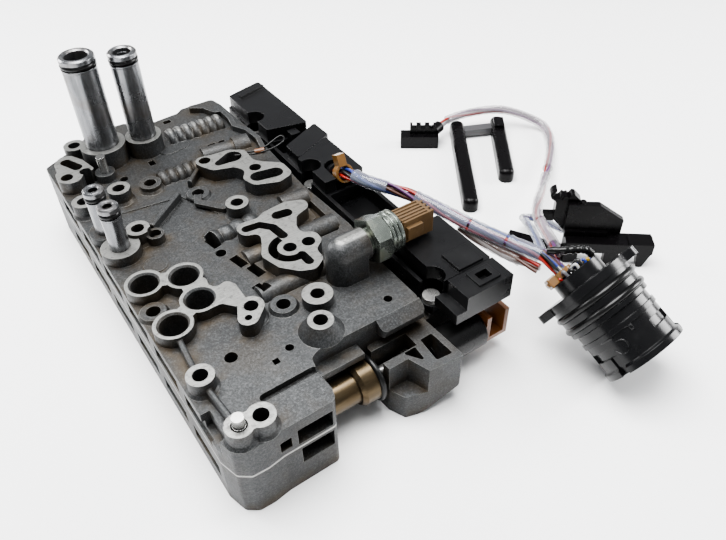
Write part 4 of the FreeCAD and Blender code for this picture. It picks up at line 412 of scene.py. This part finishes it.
def metal_finish(name, colour, roughness, dark=0.75, stretch=ALONG_Z, stain=TUBE_BROWN, stained=0.25):
    """Bare metal with streaks along one axis, brownish stains, and painted shade where other pieces are
    near.
    """
    made = Finish(name, colour, 0.9, roughness)
    streak = made.noise(420.0, 3.0, 0.6, stretch)
    cloud = made.noise(60.0, 4.0, 0.6)
    body = made.mix(made.ramp(streak, 0.35, 0.7), colour, shade(colour, dark))
    body = made.mix(made.ramp(cloud, 0.50, 0.72, 0.0, stained), body, stain)
    # Painted shade: darker where other pieces are near, from the Ambient Occlusion mask.
    painted_shade = made.ramp(made.openness(5 * MM), 0.70, 0.25, 0.0, 0.8)
    made.colour(made.mix(painted_shade, body, METAL_SHADE))
    made.roughness(made.ramp(cloud, 0.3, 0.7, roughness - 0.06, roughness + 0.10))
    made.bump(streak, 0.10, 0.2 * MM, 0.3 * MM)
    return made.material


tube_metal = metal_finish("turned_aluminium", (0.25, 0.255, 0.265), 0.25, 0.55, stained=0.35)
plate_metal = metal_finish("plate_steel", (0.36, 0.355, 0.34), 0.36)
bright_metal = metal_finish("ground_steel", (0.46, 0.46, 0.45), 0.24, 0.80, stained=0.15)
spring_metal = metal_finish("spring_wire", (0.22, 0.215, 0.20), 0.32)
zinc_metal = metal_finish(
    "zinc_plating", (0.235, 0.26, 0.235), 0.24, 0.80, NO_STREAKS, stain=(0.20, 0.18, 0.09), stained=0.4
)
bronze_metal = metal_finish(
    "oiled_bronze", (0.100, 0.075, 0.045), 0.30, 0.6, ALONG_X, stain=(0.05, 0.03, 0.012), stained=0.5
)
contact_metal = metal_finish("tinned_contact", (0.50, 0.46, 0.34), 0.25, 0.9, stained=0.0)
print("metals made, the tubes with", len(tube_metal.node_tree.nodes), "nodes")

# %% Rubber and plastics
GRAIN_SCALE = 700.0


def plastic_finish(name, colour, roughness, coat=0.0, wear=0.12, gloss=0.5):
    """Moulded plastic with a fine grain, slight colour change and rubbed spots."""
    made = Finish(name, colour, 0.0, roughness)
    cloud = made.noise(45.0, 4.0, 0.6)
    body = made.mix(made.ramp(cloud, 0.35, 0.7), colour, shade(colour, 0.78))
    rubbed = made.ramp(made.noise(140.0, 5.0, 0.7), 0.58, 0.78, 0.0, wear)
    made.colour(made.mix(rubbed, body, shade(colour, 2.2, 0.03)))
    made.roughness(made.ramp(cloud, 0.3, 0.7, roughness - 0.07, roughness + 0.09))
    made.bump(made.noise(GRAIN_SCALE, 2.0), 0.12, 0.2 * MM, 0.4 * MM)
    made.shader.inputs["Specular IOR Level"].default_value = gloss
    made.shader.inputs["Coat Weight"].default_value = coat
    made.shader.inputs["Coat Roughness"].default_value = 0.12
    return made.material


rubber = plastic_finish("seal_rubber", (0.005, 0.005, 0.005), 0.28, gloss=0.3)
rail_plastic = plastic_finish("rail_plastic", (0.0045, 0.0045, 0.0050), 0.30, 0.05, gloss=0.35)
connector_plastic = plastic_finish("connector_plastic", (0.0035, 0.0035, 0.0040), 0.25, 0.12, gloss=0.30)
switch_plastic = plastic_finish("switch_plastic", (0.0030, 0.0026, 0.0030), 0.28, gloss=0.14)
can_paint = plastic_finish("solenoid_can", (0.006, 0.006, 0.006), 0.30, 0.1, gloss=0.35)
brown_plastic = plastic_finish("brown_cap", (0.135, 0.050, 0.015), 0.38, 0.2)
amber_plastic = plastic_finish("amber_plastic", (0.100, 0.058, 0.024), 0.36, 0.15, 0.2)
tie_plastic = plastic_finish("tie_plastic", (0.150, 0.074, 0.020), 0.30, 0.3, 0.2)
grey_plastic = plastic_finish("grey_plastic", (0.06, 0.06, 0.063), 0.42)
print("plastics made, the rail with", len(rail_plastic.node_tree.nodes), "nodes")

# %% Give each node its finish
SLOT_FINISH = {
    "casting": casting,
    "plate_steel": plate_metal,
    "tube_aluminium": tube_metal,
    "seal_rubber": rubber,
    "bright_steel": bright_metal,
    "spring_steel": spring_metal,
    "solenoid_can": can_paint,
    "brown_plastic": brown_plastic,
    "pilot_bronze": bronze_metal,
    "zinc_steel": zinc_metal,
    "amber_plastic": amber_plastic,
    "rail_plastic": rail_plastic,
    "connector_plastic": connector_plastic,
    "contact_metal": contact_metal,
    "grey_plastic": grey_plastic,
}
for row in frame["record"]["subparts"]:
    finish = SLOT_FINISH.get(row["material_slot"])
    if finish:
        node = nodes[row["node"]]
        node.data.materials.clear()
        node.data.materials.append(finish)
nodes["rail_tie"].data.materials[0] = tie_plastic
for name in ("selector_switch", "long_sensor_bar", "short_sensor_bar", "harness_plug"):
    nodes[name].data.materials[0] = switch_plastic
print(len(SLOT_FINISH), "finishes given out")


# %% [markdown]
# ## The harness
# Each bundle of the harness follows one smooth NURBS line whose control points, in millimetres, are the
# route that the CAD used. A bundle could be simulated as a rope, but then it would lie elsewhere than in
# the photograph. The line is turned into points once, and all that is on the cord follows those points: the
# coloured wires, which wind slowly round the line, and the sleeve, a thin tube that shows the wires through
# its wall.

# %% Routes
TRUNK_ROUTE = [
    (126.4, 127.4, 46.4), (125.7, 112.6, 54.0), (127.6, 101.6, 55.2), (132.2, 92.6, 54.8),
    (138.6, 84.6, 53.6), (144.4, 75.4, 51.8), (149.2, 65.0, 49.6), (153.6, 54.2, 47.8),
    (157.6, 43.0, 46.6), (161.6, 31.4, 46.2), (165.8, 18.6, 46.4), (172.58, 4.94, 45.58),
    (174.74, -10.45, 37.31),
]
LOWER_ROUTE = [
    (156.6, 53.0, 41.5), (158.8, 40.1, 39.5), (161.6, 27.9, 39.5), (164.5, 16.4, 40.0),
    (167.4, 6.0, 40.0),
]
SENSOR_ROUTE = [
    (176.6, 2.6, 46.0), (181.2, 8.6, 44.2), (187.2, 18.4, 41.6), (194.8, 30.6, 38.0),
    (204.0, 43.9, 34.0), (219.6, 56.9, 29.0), (235.6, 69.0, 20.0), (253.2, 82.6, 13.6),
    (270.8, 96.0, 9.4), (286.6, 109.0, 6.2), (299.4, 120.4, 4.6), (308.4, 131.4, 3.8),
    (312.8, 141.4, 4.8), (308.0, 150.4, 7.6), (301.7, 158.2, 10.4), (294.0, 165.6, 12.5),
    (284.6, 171.6, 12.8), (273.0, 175.6, 12.8), (261.4, 178.2, 12.6), (251.6, 178.9, 12.2),
    (243.4, 176.6, 11.2),
]
SELECTOR_ROUTE = [
    (171.8, 4.6, 43.0), (178.0, 14.8, 40.4), (187.0, 26.6, 36.0), (197.0, 40.4, 29.8),
    (206.6, 53.2, 21.8), (215.5, 63.0, 13.5), (222.0, 67.6, 8.0), (227.8, 65.6, 6.4),
    (229.8, 59.0, 7.0), (228.9, 51.6, 9.6), (227.0, 44.9, 12.4), (225.6, 38.6, 14.8),
]
print("control points", [len(route) for route in (TRUNK_ROUTE, LOWER_ROUTE, SENSOR_ROUTE, SELECTOR_ROUTE)])

# %% Lines from routes
STEPS_PER_POINT = 8


def route_curve(name, points, radius=0.0, resolution=6):
    """A NURBS curve through space with these points, in metres, as its control points."""
    data = bpy.data.curves.new(name, "CURVE")
    data.dimensions = "3D"
    data.resolution_u = STEPS_PER_POINT
    spline = data.splines.new("NURBS")
    spline.points.add(len(points) - 1)
    for target, point in zip(spline.points, points):
        target.co = (*point, 1.0)
    spline.order_u = 3
    spline.use_endpoint_u = True
    data.bevel_depth = radius
    data.bevel_resolution = resolution
    return data


def curve_mesh(data):
    """The mesh that Blender makes of a curve."""
    carrier = new_object("carrier", data)
    bpy.context.view_layer.update()
    mesh = bpy.data.meshes.new_from_object(carrier.evaluated_get(bpy.context.evaluated_depsgraph_get()))
    bpy.data.objects.remove(carrier)
    return mesh


def centre_line(route):
    """The points of a route's smooth line, as Blender works them out."""
    mesh = curve_mesh(route_curve("line", [(x * MM, y * MM, z * MM) for x, y, z in route]))
    return [vertex.co.copy() for vertex in mesh.vertices]


def line_length(points):
    """The length along a line."""
    return sum((b - a).length for a, b in zip(points, points[1:]))


lines = {
    "trunk": centre_line(TRUNK_ROUTE),
    "lower": centre_line(LOWER_ROUTE),
    "sensor": centre_line(SENSOR_ROUTE),
    "selector": centre_line(SELECTOR_ROUTE),
}
for key, points in lines.items():
    print(key, "line", round(1000 * line_length(points), 1), "mm,", len(points), "points")

# %% Tubes and pieces
def tube_mesh(points, radius, resolution=3, radii=None):
    """A mesh tube that follows points, with a factor on its radius at each one."""
    data = bpy.data.curves.new("tube", "CURVE")
    data.dimensions = "3D"
    spline = data.splines.new("POLY")
    spline.points.add(len(points) - 1)
    for i, (target, point) in enumerate(zip(spline.points, points)):
        target.co = (*point, 1.0)
        target.radius = radii[i] if radii else 1.0
    data.bevel_depth = radius
    data.bevel_resolution = resolution
    data.use_fill_caps = True
    return curve_mesh(data)


def add_mesh(shape, mesh):
    """Puts a mesh into a bmesh and lets the mesh go."""
    shape.from_mesh(mesh)
    bpy.data.meshes.remove(mesh)


def add_piece(name, shape, finishes, smooth=True):
    """Turns a bmesh into a piece of the object that rides on the part's body."""
    mesh = bpy.data.meshes.new(name)
    shape.to_mesh(mesh)
    shape.free()
    made = new_object(name, mesh)
    for finish in finishes:
        mesh.materials.append(finish)
    for polygon in mesh.polygons:
        polygon.use_smooth = smooth
    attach(made, "root")
    return made


print("helpers for tubes and pieces are ready")


# %% [markdown]
# ## Coloured wires
# The wires in the sleeves are single strands with coloured insulation, laid round each other in a slow
# twist. An Array along a curve would repeat one strand stiffly. Here each strand is a tube of its own whose
# path goes round the line, with a small sway and swell, so that no two of them run quite the same.

# %% Wire finishes
WIRE_COLOURS = {
    "red": (0.28, 0.016, 0.010),
    "brown": (0.060, 0.018, 0.010),
    "blue": (0.020, 0.036, 0.20),
    "white": (0.42, 0.42, 0.42),
    "violet": (0.085, 0.026, 0.100),
    "black": (0.008, 0.008, 0.008),
    "yellow": (0.32, 0.20, 0.012),
    "grey": (0.10, 0.10, 0.11),
}
wire_finishes = {}
for name, colour in WIRE_COLOURS.items():
    wire_finishes[name] = plastic_finish(f"wire_{name}", colour, 0.35, 0.2, 0.05)
print(len(wire_finishes), "colours of insulation")

# %% Wires that wind round a line
TURNS_PER_M = 9.0
SWAY = 0.5
SWAY_PER_M = 90
SWELL = 0.12
SWELL_PER_M = 70


def line_frames(points):
    """Two directions across the line at each point, carried along it without twist."""
    frames = []
    ahead = (points[1] - points[0]).normalized()
    side = ahead.orthogonal().normalized()
    for i in range(len(points)):
        new_ahead = (points[min(i + 1, len(points) - 1)] - points[max(i - 1, 0)]).normalized()
        side = ahead.rotation_difference(new_ahead) @ side
        side = (side - side.dot(new_ahead) * new_ahead).normalized()
        ahead = new_ahead
        frames.append((side, ahead.cross(side)))
    return frames


def strand_path(points, frames, k, count, spread):
    """The path of strand k of a bundle. Strand 0 runs in the middle and the others go round it."""
    path = []
    travelled = 0.0
    for i, point in enumerate(points):
        if i:
            travelled += (point - points[i - 1]).length
        angle = 2 * math.pi * (k / (count - 1) + TURNS_PER_M * travelled)
        angle += SWAY * math.sin(SWAY_PER_M * travelled + k)
        reach = spread * (1.0 + SWELL * math.sin(SWELL_PER_M * travelled + 2.0 * k)) if k else 0.0
        side, across = frames[i]
        path.append(point + reach * (math.cos(angle) * side + math.sin(angle) * across))
    return path


def wire_bundle(name, points, colours, wire_r, spread):
    """A piece of several wires wound round the line, with a material for each colour."""
    frames = line_frames(points)
    used = list(dict.fromkeys(colours))
    bundle = bmesh.new()
    for k, colour in enumerate(colours):
        strand = tube_mesh(strand_path(points, frames, k, len(colours), spread), wire_r)
        for polygon in strand.polygons:
            polygon.material_index = used.index(colour)
        add_mesh(bundle, strand)
    return add_piece(name, bundle, [wire_finishes[colour] for colour in used])


print("a strand goes round its line", TURNS_PER_M, "times per metre")

# %% The four bundles
TRUNK_COLOURS = ["brown", "red", "violet", "brown", "blue", "black", "red", "violet", "brown"]
LOWER_COLOURS = ["brown", "red", "brown", "white", "brown"]
SENSOR_COLOURS = ["white", "red", "violet", "grey"]
SELECTOR_COLOURS = ["violet", "blue", "white"]

trunk_wires = wire_bundle("trunk_wires", lines["trunk"], TRUNK_COLOURS, 0.90 * MM, 2.35 * MM)
lower_wires = wire_bundle("lower_wires", lines["lower"], LOWER_COLOURS, 0.95 * MM, 1.9 * MM)
sensor_wires = wire_bundle("sensor_wires", lines["sensor"], SENSOR_COLOURS, 0.85 * MM, 1.4 * MM)
selector_wires = wire_bundle("selector_wires", lines["selector"], SELECTOR_COLOURS, 0.75 * MM, 1.1 * MM)
for made in (trunk_wires, lower_wires, sensor_wires, selector_wires):
    print(made.name, len(made.data.polygons), "faces")


# %% [markdown]
# ## Sleeves
# Clear hose is drawn over the wires. Heat and oil have made it milky, and it is cut where a branch leaves
# or a clip holds the loom. Glass in the shader would show the wires too, but it takes many light bounces
# and turns grey. A see-through share in the Alpha input, with a glossy coat over it, gives the milky look
# at little cost.

# %% Sleeve finishes
def sleeve_finish(name, colour, alpha):
    """Clear plastic hose that has gone milky, with small crushed spots."""
    made = Finish(name, colour, 0.0, 0.16)
    cloud = made.noise(55.0, 3.0, 0.6, (1.0, 1.0, 0.4))
    made.colour(made.mix(made.ramp(cloud, 0.35, 0.68), colour, shade(colour, 0.60)))
    made.shader.inputs["Alpha"].default_value = alpha
    made.shader.inputs["Coat Weight"].default_value = 0.8
    made.shader.inputs["Coat Roughness"].default_value = 0.06
    made.bump(made.noise(170.0, 3.0, 0.6), 0.45, 0.6 * MM)
    return made.material


milky_sleeve = sleeve_finish("milky_sleeve", (0.215, 0.245, 0.320), 0.46)
brown_sleeve = sleeve_finish("brown_sleeve", (0.300, 0.235, 0.215), 0.40)
pale_sleeve = sleeve_finish("pale_sleeve", (0.420, 0.385, 0.410), 0.46)
print("three sleeve finishes")

# %% Sleeves on the lines
CRUSH = 0.05
LIP = 1.06
TRUNK_CUTS = [(0.13, 0.275), (0.375, 0.60), (0.60, 0.74), (0.74, 0.87)]
LOWER_CUTS = [(0.0, 0.80)]
SENSOR_CUTS = [(0.04, 0.135), (0.135, 0.44), (0.475, 0.97)]
SELECTOR_CUTS = [(0.05, 0.52), (0.64, 0.98)]


def part_of(points, start, end):
    """The stretch of a line between two shares of its length."""
    total = line_length(points)
    kept = []
    travelled = 0.0
    for i, point in enumerate(points):
        if i:
            travelled += (point - points[i - 1]).length
        if start * total <= travelled <= end * total:
            kept.append(point)
    return kept


def sleeve_piece(name, points, cuts, radius, finish):
    """A clear hose on some stretches of a line, slightly crushed here and there, with a lip at each end."""
    joined = bmesh.new()
    for start, end in cuts:
        stretch = part_of(points, start, end)
        radii = [1.0 + CRUSH * math.sin(2.1 * i) * math.sin(0.63 * i) for i in range(len(stretch))]
        radii[0] = LIP
        radii[-1] = LIP
        add_mesh(joined, tube_mesh(stretch, radius, 6, radii))
    return add_piece(name, joined, [finish])


trunk_sleeve = sleeve_piece("trunk_sleeve", lines["trunk"], TRUNK_CUTS, 3.8 * MM, milky_sleeve)
lower_sleeve = sleeve_piece("lower_sleeve", lines["lower"], LOWER_CUTS, 3.3 * MM, brown_sleeve)
sensor_sleeve = sleeve_piece("sensor_sleeve", lines["sensor"], SENSOR_CUTS, 3.1 * MM, pale_sleeve)
selector_sleeve = sleeve_piece("selector_sleeve", lines["selector"], SELECTOR_CUTS, 2.3 * MM, milky_sleeve)
for made in (trunk_sleeve, lower_sleeve, sensor_sleeve, selector_sleeve):
    print(made.name, len(made.data.polygons), "faces")


# %% [markdown]
# ## The junction tie
# A chunky amber tie holds the loom where its branches part. The CAD has it as a plain solid. Here its band
# is a flat section spun round the line, and its head is a block with rounded edges and a latch on top. The
# placement comes from the line itself, so the tie sits square on the wires.

# %% Helpers for small forms
RING_STEPS = 40


def axes_to_matrix(at, along, up):
    """A placement whose Z runs along one direction and whose Y leans towards another."""
    z = along.normalized()
    x = up.cross(z).normalized()
    y = z.cross(x)
    return Matrix.Translation(at) @ Matrix((x, y, z)).transposed().to_4x4()


def add_shape(shape, part, place):
    """Moves a small form to its place and puts it into a larger one."""
    bmesh.ops.transform(part, matrix=place, verts=part.verts)
    mesh = bpy.data.meshes.new("part")
    part.to_mesh(mesh)
    part.free()
    add_mesh(shape, mesh)


def add_ring(shape, place, radius, width, thickness):
    """A band round the placement's Z axis: a flat section, stood upright and spun once round."""
    band = bmesh.new()
    bmesh.ops.create_grid(band, x_segments=1, y_segments=1, size=0.5)
    bmesh.ops.delete(band, geom=band.faces[:], context="FACES_ONLY")
    bmesh.ops.scale(band, vec=(thickness, width, 1.0), verts=band.verts)
    bmesh.ops.rotate(band, matrix=Matrix.Rotation(math.radians(90.0), 3, "X"), verts=band.verts)
    bmesh.ops.translate(band, vec=(radius + thickness / 2, 0.0, 0.0), verts=band.verts)
    section = band.verts[:] + band.edges[:]
    centre = (0, 0, 0)
    upright = (0, 0, 1)
    bmesh.ops.spin(
        band, geom=section, cent=centre, axis=upright, angle=2 * math.pi, steps=RING_STEPS, use_merge=True
    )
    bmesh.ops.recalc_face_normals(band, faces=band.faces)
    add_shape(shape, band, place)


def add_block(shape, place, size, edge):
    """A block with rounded edges about the placement's middle."""
    block = bmesh.new()
    bmesh.ops.create_cube(block, size=1.0)
    bmesh.ops.scale(block, vec=size, verts=block.verts)
    bmesh.ops.bevel(
        block, geom=block.edges[:], offset=edge, segments=2, affect="EDGES", profile=0.6, material=-1
    )
    add_shape(shape, block, place)


print("helpers for rings and blocks are ready")

# %% Junction tie
HEAD_SIDE = Vector((-0.85, -0.25, -0.55))
BAND_R = 4.5 * MM
BAND_WIDTH = 3.4 * MM
BAND_THICK = 1.0 * MM
HEAD_SIZE = (7.4 * MM, 5.0 * MM, 5.4 * MM)
HEAD_LIFT = 2.4 * MM
HEAD_EDGE = 0.7 * MM
LATCH_SIZE = (4.2 * MM, 3.4 * MM, 2.4 * MM)
LATCH_LIFT = 1.6 * MM
LATCH_EDGE = 0.3 * MM


def nearest_on(points, target):
    """The place and direction of a line at its point nearest to a target."""
    i = min(range(1, len(points) - 1), key=lambda k: (points[k] - target).length)
    return points[i], (points[i + 1] - points[i - 1]).normalized()


tie_low, tie_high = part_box("junction_tie")
tie_place, tie_along = nearest_on(lines["trunk"], (tie_low + tie_high) / 2)
head_up = (HEAD_SIDE - HEAD_SIDE.dot(tie_along) * tie_along).normalized()
head_place = axes_to_matrix(tie_place + head_up * (BAND_R + HEAD_LIFT), tie_along, head_up)

tie_shape = bmesh.new()
add_ring(tie_shape, axes_to_matrix(tie_place, tie_along, HEAD_SIDE), BAND_R, BAND_WIDTH, BAND_THICK)
add_block(tie_shape, head_place, HEAD_SIZE, HEAD_EDGE)
add_block(tie_shape, head_place @ Matrix.Translation((0, LATCH_LIFT, 0)), LATCH_SIZE, LATCH_EDGE)
junction_band = add_piece("junction_band", tie_shape, [tie_plastic], smooth=False)
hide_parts("junction_tie")
print("tie at", [round(1000 * c, 1) for c in tie_place], "mm")


# %% [markdown]
# ## Leads behind the round connector
# Behind the tie the bundle opens into single leads that swing out and run down into the connector's collar.
# Each is a NURBS strand through five points: two at the tie, one out over the collar's rim, and two inside
# it. The angle round the axis and the rise over the rim differ from lead to lead, as they do when a hand
# bends them in.

# %% Leads
BACK_AXIS = Vector((-0.1229, 0.8744, 0.4695))
ACROSS = Vector((0.7795, -0.2078, 0.5910))
UPWARD = -BACK_AXIS.cross(ACROSS)
CONNECTOR_FACE = Vector((179.4, -17.0, 37.32)) * MM
COLLAR_FLOOR = CONNECTOR_FACE + BACK_AXIS * 6.3 * MM
COLLAR_MOUTH = CONNECTOR_FACE + BACK_AXIS * 11.3 * MM
BEFORE_TIE = 4.0 * MM
THROUGH_TIE = 6.0 * MM
OUT_AT_TIE = 2.6 * MM
OUT_OVER_RIM = 9.4 * MM
OUT_AT_MOUTH = 8.6 * MM
OUT_AT_FLOOR = 7.6 * MM
# Colour, radius in millimetres, angle round the axis in degrees, rise over the rim in millimetres.
LEADS = [
    ("yellow", 0.8, 20.0, 1.3), ("blue", 0.8, 42.0, 2.6), ("white", 0.75, 75.0, 3.2),
    ("blue", 0.8, 5.0, 0.6), ("red", 0.8, 150.0, 1.6), ("white", 0.7, 175.0, 2.2),
    ("red", 0.8, 205.0, 1.2), ("grey", 0.9, 118.0, 4.0), ("black", 1.0, 60.0, 4.4),
    ("black", 1.0, 95.0, 2.0), ("violet", 0.8, 240.0, 0.6),
]


def add_tube(shape, points, radius, resolution=3):
    """A round strand through points, smoothed as a NURBS line."""
    data = route_curve("strand", points, radius, resolution)
    data.use_fill_caps = True
    add_mesh(shape, curve_mesh(data))


def outward(angle):
    """The direction out from the connector's axis at an angle in degrees."""
    return math.cos(math.radians(angle)) * ACROSS + math.sin(math.radians(angle)) * UPWARD


def lead_points(angle, rise):
    """Five places on a lead's way from the tie into the collar."""
    out = outward(angle)
    start = tie_place + out * OUT_AT_TIE - tie_along * BEFORE_TIE
    past_tie = start + tie_along * THROUGH_TIE
    over_rim = COLLAR_MOUTH + out * OUT_OVER_RIM + BACK_AXIS * rise * MM
    mouth = COLLAR_MOUTH + out * OUT_AT_MOUTH
    return [start, past_tie, over_rim, mouth, COLLAR_FLOOR + out * OUT_AT_FLOOR]


lead_shapes = {}
for colour, radius, angle, rise in LEADS:
    if colour not in lead_shapes:
        lead_shapes[colour] = bmesh.new()
    add_tube(lead_shapes[colour], lead_points(angle, rise), radius * MM)
lead_pieces = []
for colour, shape in lead_shapes.items():
    lead_pieces.append(add_piece(f"leads_{colour}", shape, [wire_finishes[colour]]))
print(len(LEADS), "leads in", len(lead_pieces), "colours")

# %% [markdown]
# A thin black hose with ribs goes over the collar beside the leads. Its ribs could be rings set one by one.
# The curve's own radius does it more simply: every other pair of points gets a smaller factor, so the tube
# swells and narrows along the line.

# %% Ribbed hose
HOSE_ROUTE = [
    (171.5, 6.5, 49.6), (176.0, 0.5, 51.4), (182.5, -3.4, 51.8), (188.0, -6.0, 50.0), (188.4, -8.6, 45.4),
    (186.0, -12.4, 43.4),
]
HOSE_R = 2.1 * MM
RIB_EVERY = 2
BETWEEN_RIBS = 0.80

hose_line = centre_line(HOSE_ROUTE)
ribs = [1.0 if (i // RIB_EVERY) % 2 else BETWEEN_RIBS for i in range(len(hose_line))]
hose_shape = bmesh.new()
add_mesh(hose_shape, tube_mesh(hose_line, HOSE_R, 4, ribs))
ribbed_hose = add_piece("ribbed_hose", hose_shape, [rubber])
print(len(hose_line), "points on the ribbed hose")


# %% [markdown]
# ## Spring clip between the casing and the rail
# A bent spring wire lies between the casing and the rail: a closed loop with two tails, held by a short
# brown sleeve. A bent wire is a curve with a round section, so it is made like the leads, from control
# points in millimetres.

# %% Spring clip
CLIP_ROUTES = [
    [
        (96.9, 167.2, 51.6), (101.8, 166.4, 52.6), (107.0, 167.0, 54.2), (112.2, 167.6, 55.8),
        (114.2, 165.8, 55.8), (112.6, 162.4, 55.4), (108.0, 160.6, 54.6), (103.0, 162.0, 52.8),
        (97.6, 164.4, 51.6),
    ],
    [(98.6, 166.6, 51.6), (93.6, 168.8, 51.0), (89.0, 172.6, 50.4), (86.4, 176.0, 50.2)],
    [(98.6, 164.6, 51.6), (93.0, 166.0, 50.8), (88.2, 170.4, 50.2), (84.6, 172.4, 50.2)],
]
CLIP_SLEEVE_ROUTE = [(95.2, 167.2, 51.3), (97.6, 165.8, 51.6), (100.4, 164.8, 52.0)]
CLIP_WIRE_R = 0.55 * MM
CLIP_SLEEVE_R = 1.7 * MM

clip_shape = bmesh.new()
for route in CLIP_ROUTES:
    add_tube(clip_shape, [Vector(point) * MM for point in route], CLIP_WIRE_R)
wire_clip = add_piece("wire_clip", clip_shape, [rubber])

clip_sleeve_shape = bmesh.new()
add_tube(clip_sleeve_shape, [Vector(point) * MM for point in CLIP_SLEEVE_ROUTE], CLIP_SLEEVE_R, 4)
clip_sleeve = add_piece("clip_sleeve", clip_sleeve_shape, [brown_plastic])
for made in (wire_clip, clip_sleeve):
    print(made.name, len(made.data.polygons), "faces")


# %% [markdown]
# ## Marks on the round connector
# The connector's barrel has a few raised marks. They could be text wrapped with a modifier, but here they
# are bare: two bars, a stroke and an arc. A mark is a cube that is cut into steps along its length, and
# each vertex is then laid on the barrel's round wall by its angle, its distance along the axis and its
# height.

# %% Marks
BARREL_R = 19.6 * MM
MARK_HEIGHT = 0.5
MARK_SUNK = -0.3
MARK_STEPS = 6
ARC_MIDDLE = (108.0, 28.2)
ARC_REACH = (10.5, 3.6)
ARC_HEIGHT = 0.05
ARC_R = 0.42 * MM


def on_barrel(angle, z, height):
    """A place on the barrel, from an angle in degrees, and a way along it and a height in millimetres."""
    return CONNECTOR_FACE - BACK_AXIS * z * MM + outward(angle) * (BARREL_R + height * MM)


def add_mark(shape, angles, ends, skew=0.0):
    """A raised mark between two angles and two distances along the axis, open where the barrel hides it."""
    mark = bmesh.new()
    bmesh.ops.create_cube(mark, size=1.0)
    long_edges = [edge for edge in mark.edges if edge.verts[0].co.x * edge.verts[1].co.x < 0]
    bmesh.ops.subdivide_edges(mark, edges=long_edges, cuts=MARK_STEPS - 1)
    hidden = [face for face in mark.faces if face.calc_center_median().z < -0.4]
    for vert in mark.verts:
        share = vert.co.x + 0.5
        angle = angles[0] + (angles[1] - angles[0]) * share
        z = (ends[0] if vert.co.y < 0 else ends[1]) + skew * share
        vert.co = on_barrel(angle, z, MARK_HEIGHT if vert.co.z > 0 else MARK_SUNK)
    mark.normal_update()
    bmesh.ops.recalc_face_normals(mark, faces=mark.faces)
    bmesh.ops.delete(mark, geom=hidden, context="FACES")
    add_shape(shape, mark, Matrix())


marks_shape = bmesh.new()
add_mark(marks_shape, (130.0, 109.0), (21.2, 22.8), skew=0.6)
add_mark(marks_shape, (106.0, 79.0), (19.6, 21.0), skew=2.0)
add_mark(marks_shape, (84.0, 79.0), (21.0, 25.2))
arc = []
for turned in range(0, 320, 40):
    angle = ARC_MIDDLE[0] + ARC_REACH[0] * math.cos(math.radians(turned))
    z = ARC_MIDDLE[1] + ARC_REACH[1] * math.sin(math.radians(turned))
    arc.append(on_barrel(angle, z, ARC_HEIGHT))
add_tube(marks_shape, arc, ARC_R, 2)
barrel_marks = add_piece("barrel_marks", marks_shape, [connector_plastic])
print(barrel_marks.name, len(barrel_marks.data.polygons), "faces")


# %% [markdown]
# ## Cords
# In use the harness is pushed about by hand. The wires stand for the CAD tubes, so those are hidden.

def declare(cad_node):
    """Hides the CAD tube that a bundle of wires stands for."""
    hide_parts(cad_node)


trunk_end = [nodes[name] for name in ("rail_tie", "connector_housing", "connector_seals", "connector_pins")]
trunk_end += [junction_band, ribbed_hose, barrel_marks] + lead_pieces
declare("trunk_loom")
declare("lower_loom")
declare(
    "sensor_branch",
)
declare(
    "selector_branch",
)


# %% [markdown]
# ## Springs
# A coil between a fixed floor and a sliding spool gets shorter as the spool comes in. The CAD record says
# which end of each coil is fixed. Here each coil that the record lists as deforming is replaced by a copy
# with a mesh of its own. A CAD mesh is loose triangles, so the copy's doubles are merged first.

# %% Springs
MERGE_GAP = 0.001 * MM

for joint in frame["record"]["behaviour"]["joints"]:
    for row in joint.get("deforming_nodes", []):
        coil_shape = bmesh.new()
        coil_shape.from_mesh(nodes[row["node"]].data)
        bmesh.ops.remove_doubles(coil_shape, verts=coil_shape.verts, dist=MERGE_GAP)
        bmesh.ops.recalc_face_normals(coil_shape, faces=coil_shape.faces)
        coil = add_piece(row["node"] + "_coil", coil_shape, [spring_metal])
        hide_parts(row["node"])
        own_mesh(coil)
